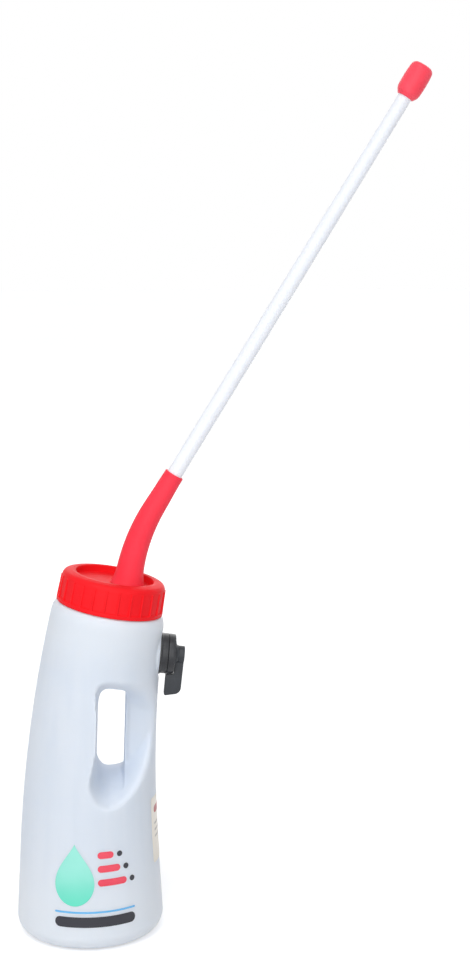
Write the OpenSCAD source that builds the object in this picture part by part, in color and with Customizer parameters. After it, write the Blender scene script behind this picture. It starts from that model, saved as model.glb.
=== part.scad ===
// Livestock drencher: a wide-mouthed bottle with a hand hole and a leaning neck,
// a ribbed screw cap, a soft elbow spout with a long probe, and a rotary air valve.
// Origin at the centre of the base, +Z up, +X to the handle and valve side.

/* [Bottle] */
// Radius of the body at the base
base_r = 64.5; // [60:0.5:70]
// Radius of the body at the shoulder
top_r = 48.4; // [47:0.2:54]
// Length of the body's centreline from base to shoulder
body_len = 288; // [275:1:310]
// Length of the upright part below the bend
bend_start = 75; // [60:1:90]
// Lean of the neck to the handle side, in degrees
neck_tilt = 10.5; // [8:0.5:13]
// Radius of the rounded base edge
base_fillet = 11; // [8:0.5:14]
// Radius of the rounded shoulder
shoulder_fillet = 7; // [5:0.5:8]
// Thickness of the bottle's wall
wall = 2.4; // [1.8:0.1:3]
// Thickness of the bottle's floor
floor_t = 4; // [2.5:0.5:6]

/* [Hand hole] */
// Width of the hand hole
hole_w = 23.5; // [20:0.5:27]
// Height of the hand hole
hole_h = 72; // [64:1:78]
// Radius of the hand hole's corners
hole_corner_r = 10; // [6:0.5:11]
// Width of the grip, from the hand hole to the outside
grip_w = 27.6; // [24:0.2:31]
// Depth of the hand hole's middle below the shoulder
hole_drop = 105.3; // [99:0.1:112]
// Lean of the hand hole, in degrees
hole_lean = 2; // [0:0.5:4]
// Half of the grip's depth, front to back
grip_half = 18; // [15:0.5:22]
// Depth of the scoop's lower lip below the hand hole
scoop_below = 22; // [18:0.5:26]
// Height of the scoop's upper lip above the hand hole
scoop_above = 21; // [17:0.5:25]
// Height over which the scoop runs out at its lips
scoop_run = 19; // [15:0.5:23]
// Width over which the scoop runs out beside the hand hole
scoop_side = 12; // [9:0.5:15]
// Radius of the lips' curve
scoop_lip_r = 18; // [15:0.5:24]

/* [Neck] */
// Outer radius of the neck, under its thread
neck_r = 40; // [38:0.2:40.4]
// Wall of the neck
neck_wall = 2.8; // [2:0.1:3.4]
// Height of the neck above the shoulder
neck_h = 24.2; // [23:0.1:26]
// Rise of the thread in one turn
thread_pitch = 6; // [5.5:0.1:6.5]
// Depth of the neck's thread
thread_depth = 1.6; // [1.2:0.1:1.8]
// Width of the thread at its root
thread_root_w = 2.6; // [2:0.1:2.8]
// Width of the thread at its crest
thread_crest_w = 1.2; // [0.8:0.1:1.6]
// Height of the thread's start above the shoulder
thread_start = 3.8; // [3.4:0.1:4.2]

/* [Cap] */
// Outer radius of the cap over its ribs
cap_r = 46; // [45.8:0.1:48]
// Gap between the cap's lower edge and the shoulder
cap_gap = 1.5; // [1:0.1:2]
// Depth of the recess in the cap's top
cap_recess = 6; // [4:0.5:8]
// Radius of the recess in the cap's top
cap_recess_r = 33.8; // [32:0.1:34]
// How much narrower the recess is at its floor
cap_recess_draft = 1; // [0.5:0.1:2]
// Thickness of the cap's roof, under the recess
cap_roof = 2.5; // [2:0.1:3.5]
// Thickness of the cap's wall round the recess, which plugs the neck
cap_plug_wall = 2.4; // [2:0.1:2.6]
// Thickness of the cap's rim over the neck
cap_rim_t = 2.8; // [2.4:0.1:3.4]
// Radius of the cap's rounded upper edge
cap_edge_r = 5; // [4:0.2:6]
// Radius of the rounded edge of the recess
cap_lip_r = 2; // [1.4:0.1:2.4]
// Height of the bead on the cap's lower edge
cap_bead_h = 3.4; // [2.5:0.1:4.5]
// Height of the ribs' bevelled tops below the rounded edge
rib_drop = 0.8; // [0.4:0.1:1.6]
// How far the ribs and the bead stand out
rib_depth = 0.9; // [0.6:0.1:1.2]
// Width of one rib
rib_w = 1.7; // [1.4:0.1:2.4]
// Number of ribs round the cap
rib_count = 26; // [20:1:32]
// Depth of the cap's thread
cap_thread_depth = 1.5; // [1.2:0.1:1.7]
// Clearance between the neck's thread and the cap's bore
thread_clearance = 0.6; // [0.4:0.05:0.8]
// Thickness of the cap's gasket
cap_gasket_t = 2; // [1.4:0.1:2.6]

/* [Spout] */
// Distance of the spout from the cap's centre
spout_offset = 12; // [9:0.5:14]
// Radius of the spout where it passes the cap's roof
spout_neck_r = 11; // [10:0.2:12]
// Radius of the spout's foot on the roof
spout_foot_r = 13.8; // [13:0.2:15]
// Radius of the spout above its foot
spout_root_r = 11.5; // [11:0.1:12.4]
// Radius of the spout's open end
spout_end_r = 8; // [7.8:0.1:9]
// Radius of the flange that holds the spout under the roof
spout_flange_r = 16; // [14:0.5:19]
// Thickness of that flange
spout_flange_t = 2.5; // [2:0.1:3]
// Length of the spout's straight foot
spout_rise = 12; // [8:0.5:16]
// Radius of the spout's bend
spout_bend_r = 160; // [140:1:180]
// Angle of the spout's bend, in degrees
spout_bend = 21; // [16:0.5:26]
// Length of the straight socket that holds the probe
socket_len = 34; // [30:0.5:38]
// Radius of the spout's bore
spout_bore_r = 5.8; // [5:0.1:6.2]

/* [Probe] */
// Outer radius of the probe tube
tube_r = 6.6; // [6.4:0.1:7]
// Outer radius of the probe tube at the bulb
tube_tip_r = 6; // [5.6:0.1:6.3]
// Radius of the bore through the probe
tube_bore_r = 4.4; // [3.6:0.1:4.8]
// Length of tube between the spout and the bulb
tube_free_len = 368.5; // [330:0.5:400]
// Length of the tube's tapered stretch below the bulb
tube_taper_len = 180; // [120:1:240]
// Largest radius of the bulb
bulb_r = 10.5; // [9.5:0.1:12]
// Radius of the bulb at its two ends
bulb_end_r = 9.7; // [9:0.1:10.5]
// Length of the bulb
bulb_len = 30; // [26:0.5:36]
// Depth of the tube's seat in the bulb
bulb_seat = 20; // [16:0.5:24]
// Clearance of sliding and turning fits, on the radius
running_clearance = 0.05; // [0.02:0.01:0.1]

/* [Air valve] */
// Depth of the valve's axis below the shoulder, along the body's centreline
valve_drop = 33.4; // [30:0.2:38]
// How far the valve's flat pad is sunk below the wall's outer line
pad_sink = 1.2; // [0.8:0.1:1.6]
// Radius of the valve's flat pad
pad_r = 18.6; // [18:0.1:20]
// Thickness of the valve's flat pad
pad_t = 6; // [5.5:0.1:7]
// Radius of the seat sunk into the pad for the valve's gasket
seat_r = 15; // [14:0.1:15.6]
// Depth of that seat
seat_depth = 1.8; // [1.2:0.1:2.4]
// Outer radius of the valve's flange and bonnet
valve_r = 17.5; // [16.5:0.1:18]
// Outer radius of the valve's gasket
valve_gasket_r = 12.6; // [12:0.1:13.4]
// Thickness of the valve's flange
flange_t = 7.1; // [6.5:0.1:8]
// How far the flange's foot stands out at the wall
flange_lip = 0.6; // [0.3:0.1:1]
// Height of the flange's foot
flange_lip_h = 1.4; // [1:0.1:2]
// Thickness of the valve's bonnet
bonnet_t = 6.2; // [5.8:0.1:7]
// Radius of the barrel through the wall
barrel_r = 10.6; // [10:0.1:11]
// Length of the barrel behind the flange
barrel_len = 16.5; // [15:0.5:19]
// Wall of the barrel
barrel_wall = 2; // [1.6:0.1:2.1]
// Clearance of the barrel in the bottle's port
port_clearance = 0.3; // [0.2:0.05:0.5]
// Thickness of the lock nut
nut_t = 6; // [5:0.5:7]
// Radius of the lock nut over its corners
nut_r = 15.5; // [14.5:0.1:16]
// Radius of the rotor disc
rotor_r = 12.4; // [11.5:0.1:12.8]
// Thickness of the rotor disc
rotor_t = 2.8; // [2.2:0.1:3]
// Radius of the rotor's spindle
spindle_r = 4; // [3.6:0.1:4.2]
// Radius of the circle that the air holes lie on
air_ring_r = 6.6; // [6.4:0.1:6.8]
// Radius of the air port in the flange
air_port_r = 1.8; // [1.4:0.1:2]
// Radii of the rotor's slow, medium and fast air holes
rotor_hole_radii = [0.8, 1.2, 1.7]; // [0.5:0.1:1.8]
// Angle between two of the lever's settings, in degrees
lever_step = 45; // [40:1:50]

/* [Flow lever] */
// Radius of the lever's hub
hub_r = 7.5; // [7:0.1:8.5]
// Length of the lever's hub
hub_len = 8.1; // [7.4:0.1:9]
// Distance of the lever's tip from the valve's axis
fin_reach = 37; // [34:0.5:40]
// Thickness of the lever's fin
fin_t = 7; // [5.5:0.1:8]
// Length of the fin along the valve's axis
fin_span = 14.8; // [13:0.2:16]
// How far the fin's outer edge leans in at its tip
fin_draft = 0.9; // [0.4:0.1:2]
// How much shorter the fin is on its outer edge
fin_slant = 3.4; // [2:0.1:5]
// Radius of the fin's outer tip corner
fin_round_r = 5; // [3:0.2:6]
// Radius of the fin's inner tip corner
fin_corner_r = 1.6; // [1:0.1:2.4]
// Clearance between the lever and the valve's rings
lever_clearance = 0.8; // [0.5:0.05:1.2]

/* [Labels] */
// Width of the front label
front_label_w = 74; // [60:1:84]
// Height of the front label
front_label_h = 78; // [66:1:84]
// Height of the front label's lower edge along the body
front_label_s = 20; // [17:1:26]
// Turn of the front label from the front to the handle side, in degrees
front_label_turn = 5; // [-10:1:15]
// Width of the side label
side_label_w = 50; // [40:1:56]
// Height of the side label
side_label_h = 60; // [50:1:64]
// Height of the side label's lower edge along the body
side_label_s = 65; // [58:1:70]
// Thickness of a label
label_t = 0.25; // [0.15:0.05:0.4]

/* [Hidden] */
$fn = 64;

// Overrun of every cut past the face that it opens
overrun = 1;
// Depth to which a raised form is sunk into what carries it
sink = 0.4;
// Room between pieces that move past each other
moving_gap = 0.3;

// Counts of sides and rows of the curved skins: the rows below, beside and above the scoop
skin_sides = 56;
skin_rows = [6, 20, 3];
cavity_sides = 36;
cavity_rows = [5, 15, 2];
fillet_rows = 4;
corner_steps = 6;
spout_sides = 24;
spout_rows = 18;
thread_steps = 36;
label_steps = 12;

// The body's centreline: upright, then an arc that leans by neck_tilt
bend_r = (body_len - bend_start) * 180 / (PI * neck_tilt);
function lean(s) = max(0, s - bend_start) * 180 / (PI * bend_r);
function axis_x(s) = bend_r * (1 - cos(lean(s)));
function axis_z(s) = min(s, bend_start) + bend_r * sin(lean(s));
function body_r(s) = base_r + (top_r - base_r) * s / body_len;
neck_x = axis_x(body_len);
neck_z = axis_z(body_len);

// Where the hand hole and its scoop lie
hole_z = neck_z - hole_drop;
hole_low = hole_z - hole_h / 2;
hole_high = hole_z + hole_h / 2;
grip_out = axis_x(hole_z) + body_r(hole_z);
hole_x = grip_out - grip_w - hole_w / 2;
hole_left = hole_x - hole_w / 2;

// Stations along the neck's axis, from the shoulder
thread_turns = 1.5;
thread_lead_share = 0.15;
thread_lead_angle = 24;
neck_bore_r = neck_r - neck_wall;
cap_bore_r = neck_r + thread_depth + thread_clearance;
cap_body_r = cap_r - rib_depth;
rim_low = neck_h + cap_gasket_t;
cap_top = rim_low + cap_rim_t;
roof_high = cap_top - cap_recess;
roof_low = roof_high - cap_roof;
cap_plug_r = cap_recess_r + cap_plug_wall;
cap_gasket_r = cap_bore_r - thread_clearance;
rib_top = cap_top - cap_edge_r - rib_drop;

// The spout's path, from the roof's upper face, and the probe on it
spout_arc_len = spout_bend_r * spout_bend * PI / 180;
spout_len = spout_rise + spout_arc_len + socket_len;
foot_flare_len = 4;
spout_row_power = 1.4;
bore_step = 0.3;
tube_low = moving_gap;
tube_high = socket_len + tube_free_len;
tube_taper_low = tube_high - tube_taper_len;
bulb_shoulder_r = 4.5;
bulb_lip_r = 4.5;
bulb_mouth_wall = 1;
bulb_bore_r = tube_tip_r + running_clearance;
bulb_mouth_r = bulb_bore_r + bulb_mouth_wall;

// Stations along the valve's axis, from the pad's outer face, outwards
valve_s = body_len - valve_drop;
valve_taper = atan((base_r - top_r) / body_len);
valve_lean = lean(valve_s) - valve_taper;
bonnet_high = flange_t + bonnet_t;
port_r = barrel_r + port_clearance;
barrel_bore_r = barrel_r - barrel_wall;
barrel_web = 2;
face_web = 3.1;
seal_t = 1;
seal_wall = 1.2;
seal_r = air_port_r + seal_wall;
rotor_low = flange_t + moving_gap;
rotor_high = rotor_low + rotor_t;
cavity_r = rotor_r + 2 * moving_gap;
cavity_high = rotor_high + moving_gap;
o_ring_r = 0.95;
o_ring_gap = 0.15;
o_ring_mid_r = spindle_r + o_ring_gap + o_ring_r;
o_ring_seat_r = o_ring_mid_r + o_ring_r + o_ring_gap;
o_ring_seat_depth = 2.2;
vent_w = 4;
vent_count = 3;
vent_step = 40;
hub_low = bonnet_high + moving_gap;
hub_high = hub_low + hub_len;
screw_head_r = 3;
screw_head_t = 1.6;
screw_head_room = 0.2;
screw_shank_r = 1.2;
screw_len = 8;
screw_web = 1;
screw_seat = hub_high - screw_head_t - screw_head_room;
spindle_high = screw_seat - screw_web;
screw_slot_w = 0.8;
screw_slot_depth = 0.7;
fin_low = hub_high - fin_span;
fin_shoulder = valve_r + lever_clearance;
check_stem_r = 1.4;
check_disc_r = 8;
check_disc_t = 1.2;
check_knob_r = 2.2;
check_knob_t = 1;
check_lift = 1.5;
check_hole_r = 1.1;
check_hole_count = 6;
check_hole_ring_r = 4.6;

// How far a label's back stands off the true skin
label_stand = 0.3;

// Smooth step from 0 at a to 1 at b
function ramp(a, b, x) = let (t = min(max((x - a) / (b - a), 0), 1)) t * t * (3 - 2 * t);

// Share of the scoop at a point of the plain round skin, grown outwards by grow
function scoop(x, z, grow) =
    let (
        bow = pow(x - hole_x, 2) / (2 * scoop_lip_r),
        low = hole_low - scoop_below - grow + bow,
        high = hole_high + scoop_above + grow - bow,
        side = ramp(hole_left - scoop_side - grow, hole_left - grow, x)
    )
    side * ramp(low, low + scoop_run, z) * (1 - ramp(high - scoop_run, high, z));

// Depth of the skin once the scoop has drawn it in towards the grip's depth
function drawn_in(v, half, share) = v * (1 - share) + share * v * half / sqrt(v * v + half * half);

// Point of the body's skin at station s, at radius r and angle a, inset from the outside
function skin(s, r, a, inset) =
    let (
        u = r * cos(a),
        x = axis_x(s) + u * cos(lean(s)),
        z = axis_z(s) - u * sin(lean(s))
    )
    [x, drawn_in(r * sin(a), grip_half - inset, scoop(x, z, inset)), z];

// Stations and radii of the body's profile, inset from the outside, from its floor to its top
function body_profile(inset, low, high, rows) =
    let (
        f = base_fillet - inset,
        g = shoulder_fillet - inset,
        wall_low = low + f,
        wall_high = high - g,
        stations = [wall_low, hole_low - scoop_below - inset, hole_high + scoop_above + inset, wall_high],
        r_low = body_r(wall_low) - inset,
        r_high = body_r(wall_high) - inset
    )
    [
        for (k = [0 : fillet_rows - 1])
            let (a = 90 * k / fillet_rows) [low + f * (1 - cos(a)), r_low - f * (1 - sin(a))],
        for (i = [0 : 2], k = [0 : rows[i] - 1])
            let (s = stations[i] + (stations[i + 1] - stations[i]) * k / rows[i]) [s, body_r(s) - inset],
        for (k = [fillet_rows : -1 : 0])
            let (a = 90 * k / fillet_rows) [high - g * (1 - cos(a)), r_high - g * (1 - sin(a))]
    ];

// Corner p between a and b, rounded to radius r
function corner(a, p, b, r) =
    let (
        to_a = (a - p) / norm(a - p),
        to_b = (b - p) / norm(b - p),
        half = acos(to_a * to_b) / 2,
        mid = p + (to_a + to_b) / norm(to_a + to_b) * r / sin(half),
        from = p + to_a * r / tan(half) - mid,
        to = p + to_b * r / tan(half) - mid,
        start = atan2(from.y, from.x),
        turn = atan2(from.x * to.y - from.y * to.x, from * to)
    )
    [for (k = [0 : corner_steps]) let (t = start + turn * k / corner_steps) mid + r * [cos(t), sin(t)]];

// Outline through points, each with its own corner radius
function rounded(points, radii) =
    let (n = len(points))
    [
        for (i = [0 : n - 1])
            each (radii[i] > 0
                ? corner(points[(i + n - 1) % n], points[i], points[(i + 1) % n], radii[i])
                : [points[i]])
    ];

// Closed solid through rings of equally many points
module loft(rings) {
    n = len(rings[0]);
    m = len(rings);
    points = [for (ring = rings) each ring];
    sides = [
        for (i = [0 : m - 2], j = [0 : n - 1])
            let (a = i * n + j, b = i * n + (j + 1) % n)
            each [[a, a + n, b + n], [a, b + n, b]]
    ];
    low_end = [for (j = [0 : n - 1]) j];
    high_end = [for (j = [n - 1 : -1 : 0]) (m - 1) * n + j];
    polyhedron(points = points, faces = concat(sides, [low_end], [high_end]), convexity = 8);
}

// Helical thread between two radii, from station z upwards
module thread(root_r, crest_r, z) {
    turn = 360 * thread_turns;
    steps = thread_steps * thread_turns;
    rings = [
        for (k = [0 : steps])
            let (
                a = turn * k / steps,
                rise = z + thread_pitch * a / 360,
                fade = max(thread_lead_share, min(1, a / thread_lead_angle, (turn - a) / thread_lead_angle)),
                crest = root_r + (crest_r - root_r) * fade,
                section = [
                    [root_r, rise + thread_root_w / 2],
                    [crest, rise + thread_crest_w / 2],
                    [crest, rise - thread_crest_w / 2],
                    [root_r, rise - thread_root_w / 2]
                ]
            )
            [
                for (j = [0 : 3])
                    let (p = section[crest_r > root_r ? j : 3 - j]) [p.x * cos(a), p.x * sin(a), p.y]
            ]
    ];
    loft(rings);
}

// Frames: the neck's axis, the spout's foot on the roof, the probe's socket, and the valve's pad
module on_neck() {
    translate([neck_x, 0, neck_z]) rotate([0, neck_tilt, 0]) children();
}

module on_roof() {
    on_neck() translate([spout_offset, 0, roof_high]) children();
}

module on_socket() {
    on_roof()
        translate([spout_bend_r * (1 - cos(spout_bend)), 0, spout_rise + spout_bend_r * sin(spout_bend)])
            rotate([0, spout_bend, 0])
                children();
}

module on_pad() {
    at = skin(valve_s, body_r(valve_s), 0, 0);
    translate(at) rotate([0, 90 + valve_lean, 0]) translate([0, 0, -pad_sink]) children();
}

// Cylinder between two stations of a frame's axis
module rod(r, low, high) {
    translate([0, 0, low]) cylinder(r = r, h = high - low);
}

// Flat ring between two stations
module ring(r_in, r_out, low, high) {
    difference() {
        rod(r_out, low, high);
        rod(r_in, low - overrun, high + overrun);
    }
}

// Round-cornered bar through the body, front to back, grown by grow
module hole_bar(grow) {
    w = hole_w + 2 * grow;
    h = hole_h + 2 * grow;
    r = hole_corner_r + grow;
    depth = 2 * base_r;
    translate([hole_x, depth / 2, hole_z])
        rotate([90, 0, 0])
            rotate([0, 0, -hole_lean])
                linear_extrude(depth) {
                    square([w, h - 2 * r], center = true);
                    square([w - 2 * r, h], center = true);
                    for (x = [-1, 1], y = [-1, 1])
                        translate([x * (w / 2 - r), y * (h / 2 - r)]) circle(r = r);
                }
}

module body_skin(inset, low, high, sides, rows) {
    loft([
        for (row = body_profile(inset, low, high, rows))
            [for (k = [0 : sides - 1]) skin(row[0], row[1], 360 * k / sides, inset)]
    ]);
}

module bottle() {
    color("aliceblue")
        difference() {
            union() {
                body_skin(0, 0, body_len, skin_sides, skin_rows);
                on_pad() rod(pad_r, -pad_t, 0);
                on_neck() {
                    rod(neck_r, -wall / 2, neck_h);
                    thread(neck_r - sink, neck_r + thread_depth, thread_start);
                }
            }
            hole_bar(0);
            difference() {
                body_skin(wall, floor_t, body_len - wall, cavity_sides, cavity_rows);
                hole_bar(wall);
                on_pad() rod(pad_r, -pad_t, 0);
            }
            on_neck() rod(neck_bore_r, -2 * wall, neck_h + overrun);
            on_pad() {
                rod(pad_r, 0, pad_sink + overrun);
                rod(seat_r, -seat_depth, overrun);
                rod(port_r, -pad_t - overrun, overrun);
            }
        }
}

module screw_cap() {
    outline = rounded(
        [
            [cap_bore_r, cap_gap],
            [cap_body_r, cap_gap],
            [cap_body_r, cap_top],
            [cap_recess_r, cap_top],
            [cap_recess_r - cap_recess_draft, roof_high],
            [0, roof_high],
            [0, roof_low],
            [cap_plug_r - cap_recess_draft, roof_low],
            [cap_plug_r, rim_low],
            [cap_bore_r, rim_low]
        ],
        [0, 0, cap_edge_r, cap_lip_r, 0, 0, 0, 0, 0, 0]
    );
    color("red")
        on_neck()
            difference() {
                union() {
                    rotate_extrude() polygon(outline);
                    ring(cap_bore_r, cap_r, cap_gap, cap_gap + cap_bead_h);
                    for (k = [0 : rib_count - 1])
                        rotate(360 * k / rib_count)
                            translate([cap_body_r - sink, -rib_w / 2, cap_gap + cap_bead_h - sink])
                                cube([rib_depth + sink, rib_w, rib_top - cap_gap - cap_bead_h + sink]);
                    thread(cap_bore_r + sink, cap_bore_r - cap_thread_depth, thread_start + thread_pitch / 2);
                }
                translate([spout_offset, 0, 0])
                    rod(spout_neck_r + running_clearance, roof_low - overrun, roof_high + overrun);
            }
}

module cap_gasket() {
    color("whitesmoke")
        on_neck() ring(neck_bore_r, cap_gasket_r, neck_h, rim_low - running_clearance);
}

// Point and lean of the spout's path at length p from the roof
function spout_turn(p) = min(max(p - spout_rise, 0), spout_arc_len) * 180 / (PI * spout_bend_r);
function spout_x(p) =
    let (b = spout_turn(p)) spout_bend_r * (1 - cos(b)) + max(p - spout_rise - spout_arc_len, 0) * sin(b);
function spout_z(p) =
    let (b = spout_turn(p))
    min(p, spout_rise) + spout_bend_r * sin(b) + max(p - spout_rise - spout_arc_len, 0) * cos(b);
function spout_r(p) =
    spout_root_r + (spout_end_r - spout_root_r) * p / spout_len
    + (spout_foot_r - spout_root_r) * exp(-p / foot_flare_len);

module spout() {
    skin_rings = [
        for (i = [0 : spout_rows])
            let (p = spout_len * pow(i / spout_rows, spout_row_power), b = spout_turn(p), r = spout_r(p))
            [
                for (j = [0 : spout_sides - 1])
                    let (a = 360 * j / spout_sides)
                    [
                        spout_x(p) + r * cos(a) * cos(b),
                        r * sin(a),
                        spout_z(p) - r * cos(a) * sin(b)
                    ]
            ]
    ];
    color("tomato")
        difference() {
            on_roof() {
                loft(skin_rings);
                rod(spout_neck_r, -cap_roof - spout_flange_t, spout_rise / 2);
                rod(spout_flange_r, -cap_roof - spout_flange_t, -cap_roof);
            }
            on_roof() {
                rod(spout_bore_r + bore_step, -cap_roof - spout_flange_t - overrun, spout_rise + sink);
                translate([spout_bend_r, 0, spout_rise])
                    rotate([90, 0, 0])
                        rotate([0, 0, 180 - spout_bend])
                            rotate_extrude(angle = spout_bend)
                                translate([spout_bend_r, 0])
                                    circle(r = spout_bore_r);
            }
            on_socket() rod(tube_r + running_clearance, -sink, socket_len + overrun);
        }
}

module probe_tube() {
    color("white")
        on_socket()
            difference() {
                union() {
                    rod(tube_r, tube_low, tube_taper_low);
                    translate([0, 0, tube_taper_low])
                        cylinder(r1 = tube_r, r2 = tube_tip_r, h = tube_taper_len);
                    rod(tube_tip_r, tube_high, tube_high + bulb_seat);
                }
                rod(tube_bore_r, tube_low - overrun, tube_high + bulb_seat + overrun);
            }
}

module probe_bulb() {
    outline = rounded(
        [
            [bulb_bore_r, 0],
            [bulb_mouth_r, 0],
            [bulb_end_r, bulb_shoulder_r - bulb_mouth_wall],
            [bulb_r, bulb_len / 2],
            [bulb_end_r, bulb_len],
            [tube_bore_r, bulb_len],
            [tube_bore_r, bulb_seat],
            [bulb_bore_r, bulb_seat]
        ],
        [0, 0, bulb_shoulder_r, bulb_len, bulb_lip_r, 0, 0, 0]
    );
    color("tomato")
        on_socket()
            translate([0, 0, tube_high])
                rotate_extrude() polygon(outline);
}

module valve_gasket() {
    color("whitesmoke") on_pad() ring(port_r, valve_gasket_r, -seat_depth, 0);
}

// Air port through the flange's face, on the side away from the lever
module at_air_port() {
    translate([-air_ring_r, 0, 0]) children();
}

module valve_body() {
    color("black")
        on_pad()
            difference() {
                union() {
                    rod(valve_r, 0, flange_t);
                    rod(valve_r + flange_lip, 0, flange_lip_h);
                    rod(barrel_r, -barrel_len, sink);
                }
                rod(barrel_bore_r, -barrel_len + barrel_web, flange_t - face_web);
                rod(check_stem_r + running_clearance, -barrel_len - overrun, -barrel_len + barrel_web + overrun);
                for (k = [0 : check_hole_count - 1])
                    rotate(360 * k / check_hole_count)
                        translate([check_hole_ring_r, 0, 0])
                            rod(check_hole_r, -barrel_len - overrun, -barrel_len + barrel_web + overrun);
                at_air_port() {
                    rod(air_port_r, flange_t - face_web - overrun, flange_t + overrun);
                    rod(seal_r, rotor_low - seal_t, flange_t + overrun);
                }
            }
}

module valve_lock_nut() {
    color("black")
        on_pad()
            difference() {
                translate([0, 0, -pad_t - nut_t]) cylinder(r = nut_r, h = nut_t, $fn = 6);
                rod(barrel_r + running_clearance, -pad_t - nut_t - overrun, -pad_t + overrun);
            }
}

module port_seal() {
    color("dimgray")
        on_pad() at_air_port() ring(air_port_r, seal_r, rotor_low - seal_t, rotor_low - running_clearance);
}

module flow_rotor() {
    color("gray")
        on_pad()
            difference() {
                union() {
                    rod(rotor_r, rotor_low, rotor_high);
                    rod(spindle_r, rotor_high - sink, spindle_high);
                }
                for (k = [0 : len(rotor_hole_radii) - 1])
                    rotate(180 + lever_step * (k + 1))
                        translate([air_ring_r, 0, 0])
                            rod(rotor_hole_radii[k], rotor_low - overrun, rotor_high + overrun);
                rod(screw_shank_r, screw_seat - screw_len, spindle_high + overrun);
            }
}

module spindle_o_ring() {
    color("dimgray")
        on_pad()
            translate([0, 0, bonnet_high - o_ring_seat_depth + o_ring_r])
                rotate_extrude() translate([o_ring_mid_r, 0]) circle(r = o_ring_r);
}

module valve_bonnet() {
    color("black")
        on_pad()
            difference() {
                rod(valve_r, flange_t, bonnet_high);
                rod(cavity_r, flange_t - overrun, cavity_high);
                rod(spindle_r + running_clearance, flange_t, bonnet_high + overrun);
                rod(o_ring_seat_r, bonnet_high - o_ring_seat_depth, bonnet_high + overrun);
                for (k = [1 : vent_count])
                    rotate(90 + vent_step * (k - (vent_count + 1) / 2))
                        translate([cavity_r - sink, -vent_w / 2, rotor_low])
                            cube([valve_r - cavity_r + sink + overrun, vent_w, rotor_t]);
            }
}

module flow_lever() {
    outline = rounded(
        [
            [0, hub_low],
            [fin_shoulder, hub_low],
            [fin_shoulder, fin_low],
            [fin_reach, fin_low],
            [fin_reach - fin_slant, hub_high - fin_draft],
            [0, hub_high]
        ],
        [0, 0, fin_corner_r, fin_corner_r, fin_round_r, 0]
    );
    color("black")
        on_pad()
            difference() {
                union() {
                    rod(hub_r, hub_low, hub_high);
                    translate([0, fin_t / 2, 0])
                        rotate([90, 0, 0])
                            linear_extrude(fin_t) polygon(outline);
                }
                rod(spindle_r, hub_low - overrun, spindle_high);
                rod(screw_shank_r, spindle_high - overrun, hub_high + overrun);
                rod(screw_head_r + screw_head_room, screw_seat, hub_high + overrun);
            }
}

module lever_screw() {
    color("silver")
        on_pad()
            difference() {
                union() {
                    rod(screw_shank_r, screw_seat - screw_len, screw_seat + sink);
                    rod(screw_head_r, screw_seat, screw_seat + screw_head_t);
                }
                translate([-screw_head_r, -screw_slot_w / 2, screw_seat + screw_head_t - screw_slot_depth])
                    cube([2 * screw_head_r, screw_slot_w, screw_slot_depth + overrun]);
            }
}

module check_disc() {
    knob_low = -barrel_len + barrel_web + check_lift + running_clearance;
    color("gainsboro")
        on_pad() {
            rod(check_disc_r, -barrel_len - check_disc_t, -barrel_len);
            rod(check_stem_r, -barrel_len - sink, knob_low + sink);
            rod(check_knob_r, knob_low, knob_low + check_knob_t);
        }
}

// Film on the body's skin, centred on an angle, from station s upwards
module film(w, h, s, middle) {
    n = label_steps;
    half = w * 90 / (PI * body_r(s + h / 2));
    points = [
        for (back = [0, 1], i = [0 : n], j = [0 : n])
            let (at = s + h * i / n, r = body_r(at) + label_stand + label_t * (1 - back))
            skin(at, r, middle - half + 2 * half * j / n, 0)
    ];
    function id(back, i, j) = (back * (n + 1) + i) * (n + 1) + j;
    function tile(a, b, c, d) = [[a, b, c], [a, c, d]];
    sheets = [
        for (i = [0 : n - 1], j = [0 : n - 1])
            each concat(
                tile(id(0, i, j), id(0, i + 1, j), id(0, i + 1, j + 1), id(0, i, j + 1)),
                tile(id(1, i, j), id(1, i, j + 1), id(1, i + 1, j + 1), id(1, i + 1, j))
            )
    ];
    edges = [
        for (k = [0 : n - 1])
            each concat(
                tile(id(0, 0, k), id(0, 0, k + 1), id(1, 0, k + 1), id(1, 0, k)),
                tile(id(0, n, k + 1), id(0, n, k), id(1, n, k), id(1, n, k + 1)),
                tile(id(0, k + 1, 0), id(0, k, 0), id(1, k, 0), id(1, k + 1, 0)),
                tile(id(0, k, n), id(0, k + 1, n), id(1, k + 1, n), id(1, k, n))
            )
    ];
    polyhedron(points = points, faces = concat(sheets, edges), convexity = 4);
}

module front_label() {
    color("mediumaquamarine") film(front_label_w, front_label_h, front_label_s, front_label_turn - 90);
}

module side_label() {
    color("oldlace") film(side_label_w, side_label_h, side_label_s, 0);
}

bottle();
screw_cap();
cap_gasket();
spout();
probe_tube();
probe_bulb();
valve_gasket();
valve_body();
valve_lock_nut();
port_seal();
flow_rotor();
spindle_o_ring();
valve_bonnet();
flow_lever();
lever_screw();
check_disc();
front_label();
side_label();
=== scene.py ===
"""Looks of a livestock drencher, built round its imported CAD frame.

Sizes are millimetres in the row frame (origin in the middle of the base, +Z up,
+X to the hand hole and the air valve); a piece turns into metres when it is finished.
"""

import logging
import math
from dataclasses import dataclass
from enum import Enum
from functools import cache

import bmesh
import bpy
from bmesh.types import BMEdge, BMesh, BMFace, BMVert
from mathutils import Matrix, Vector


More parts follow.
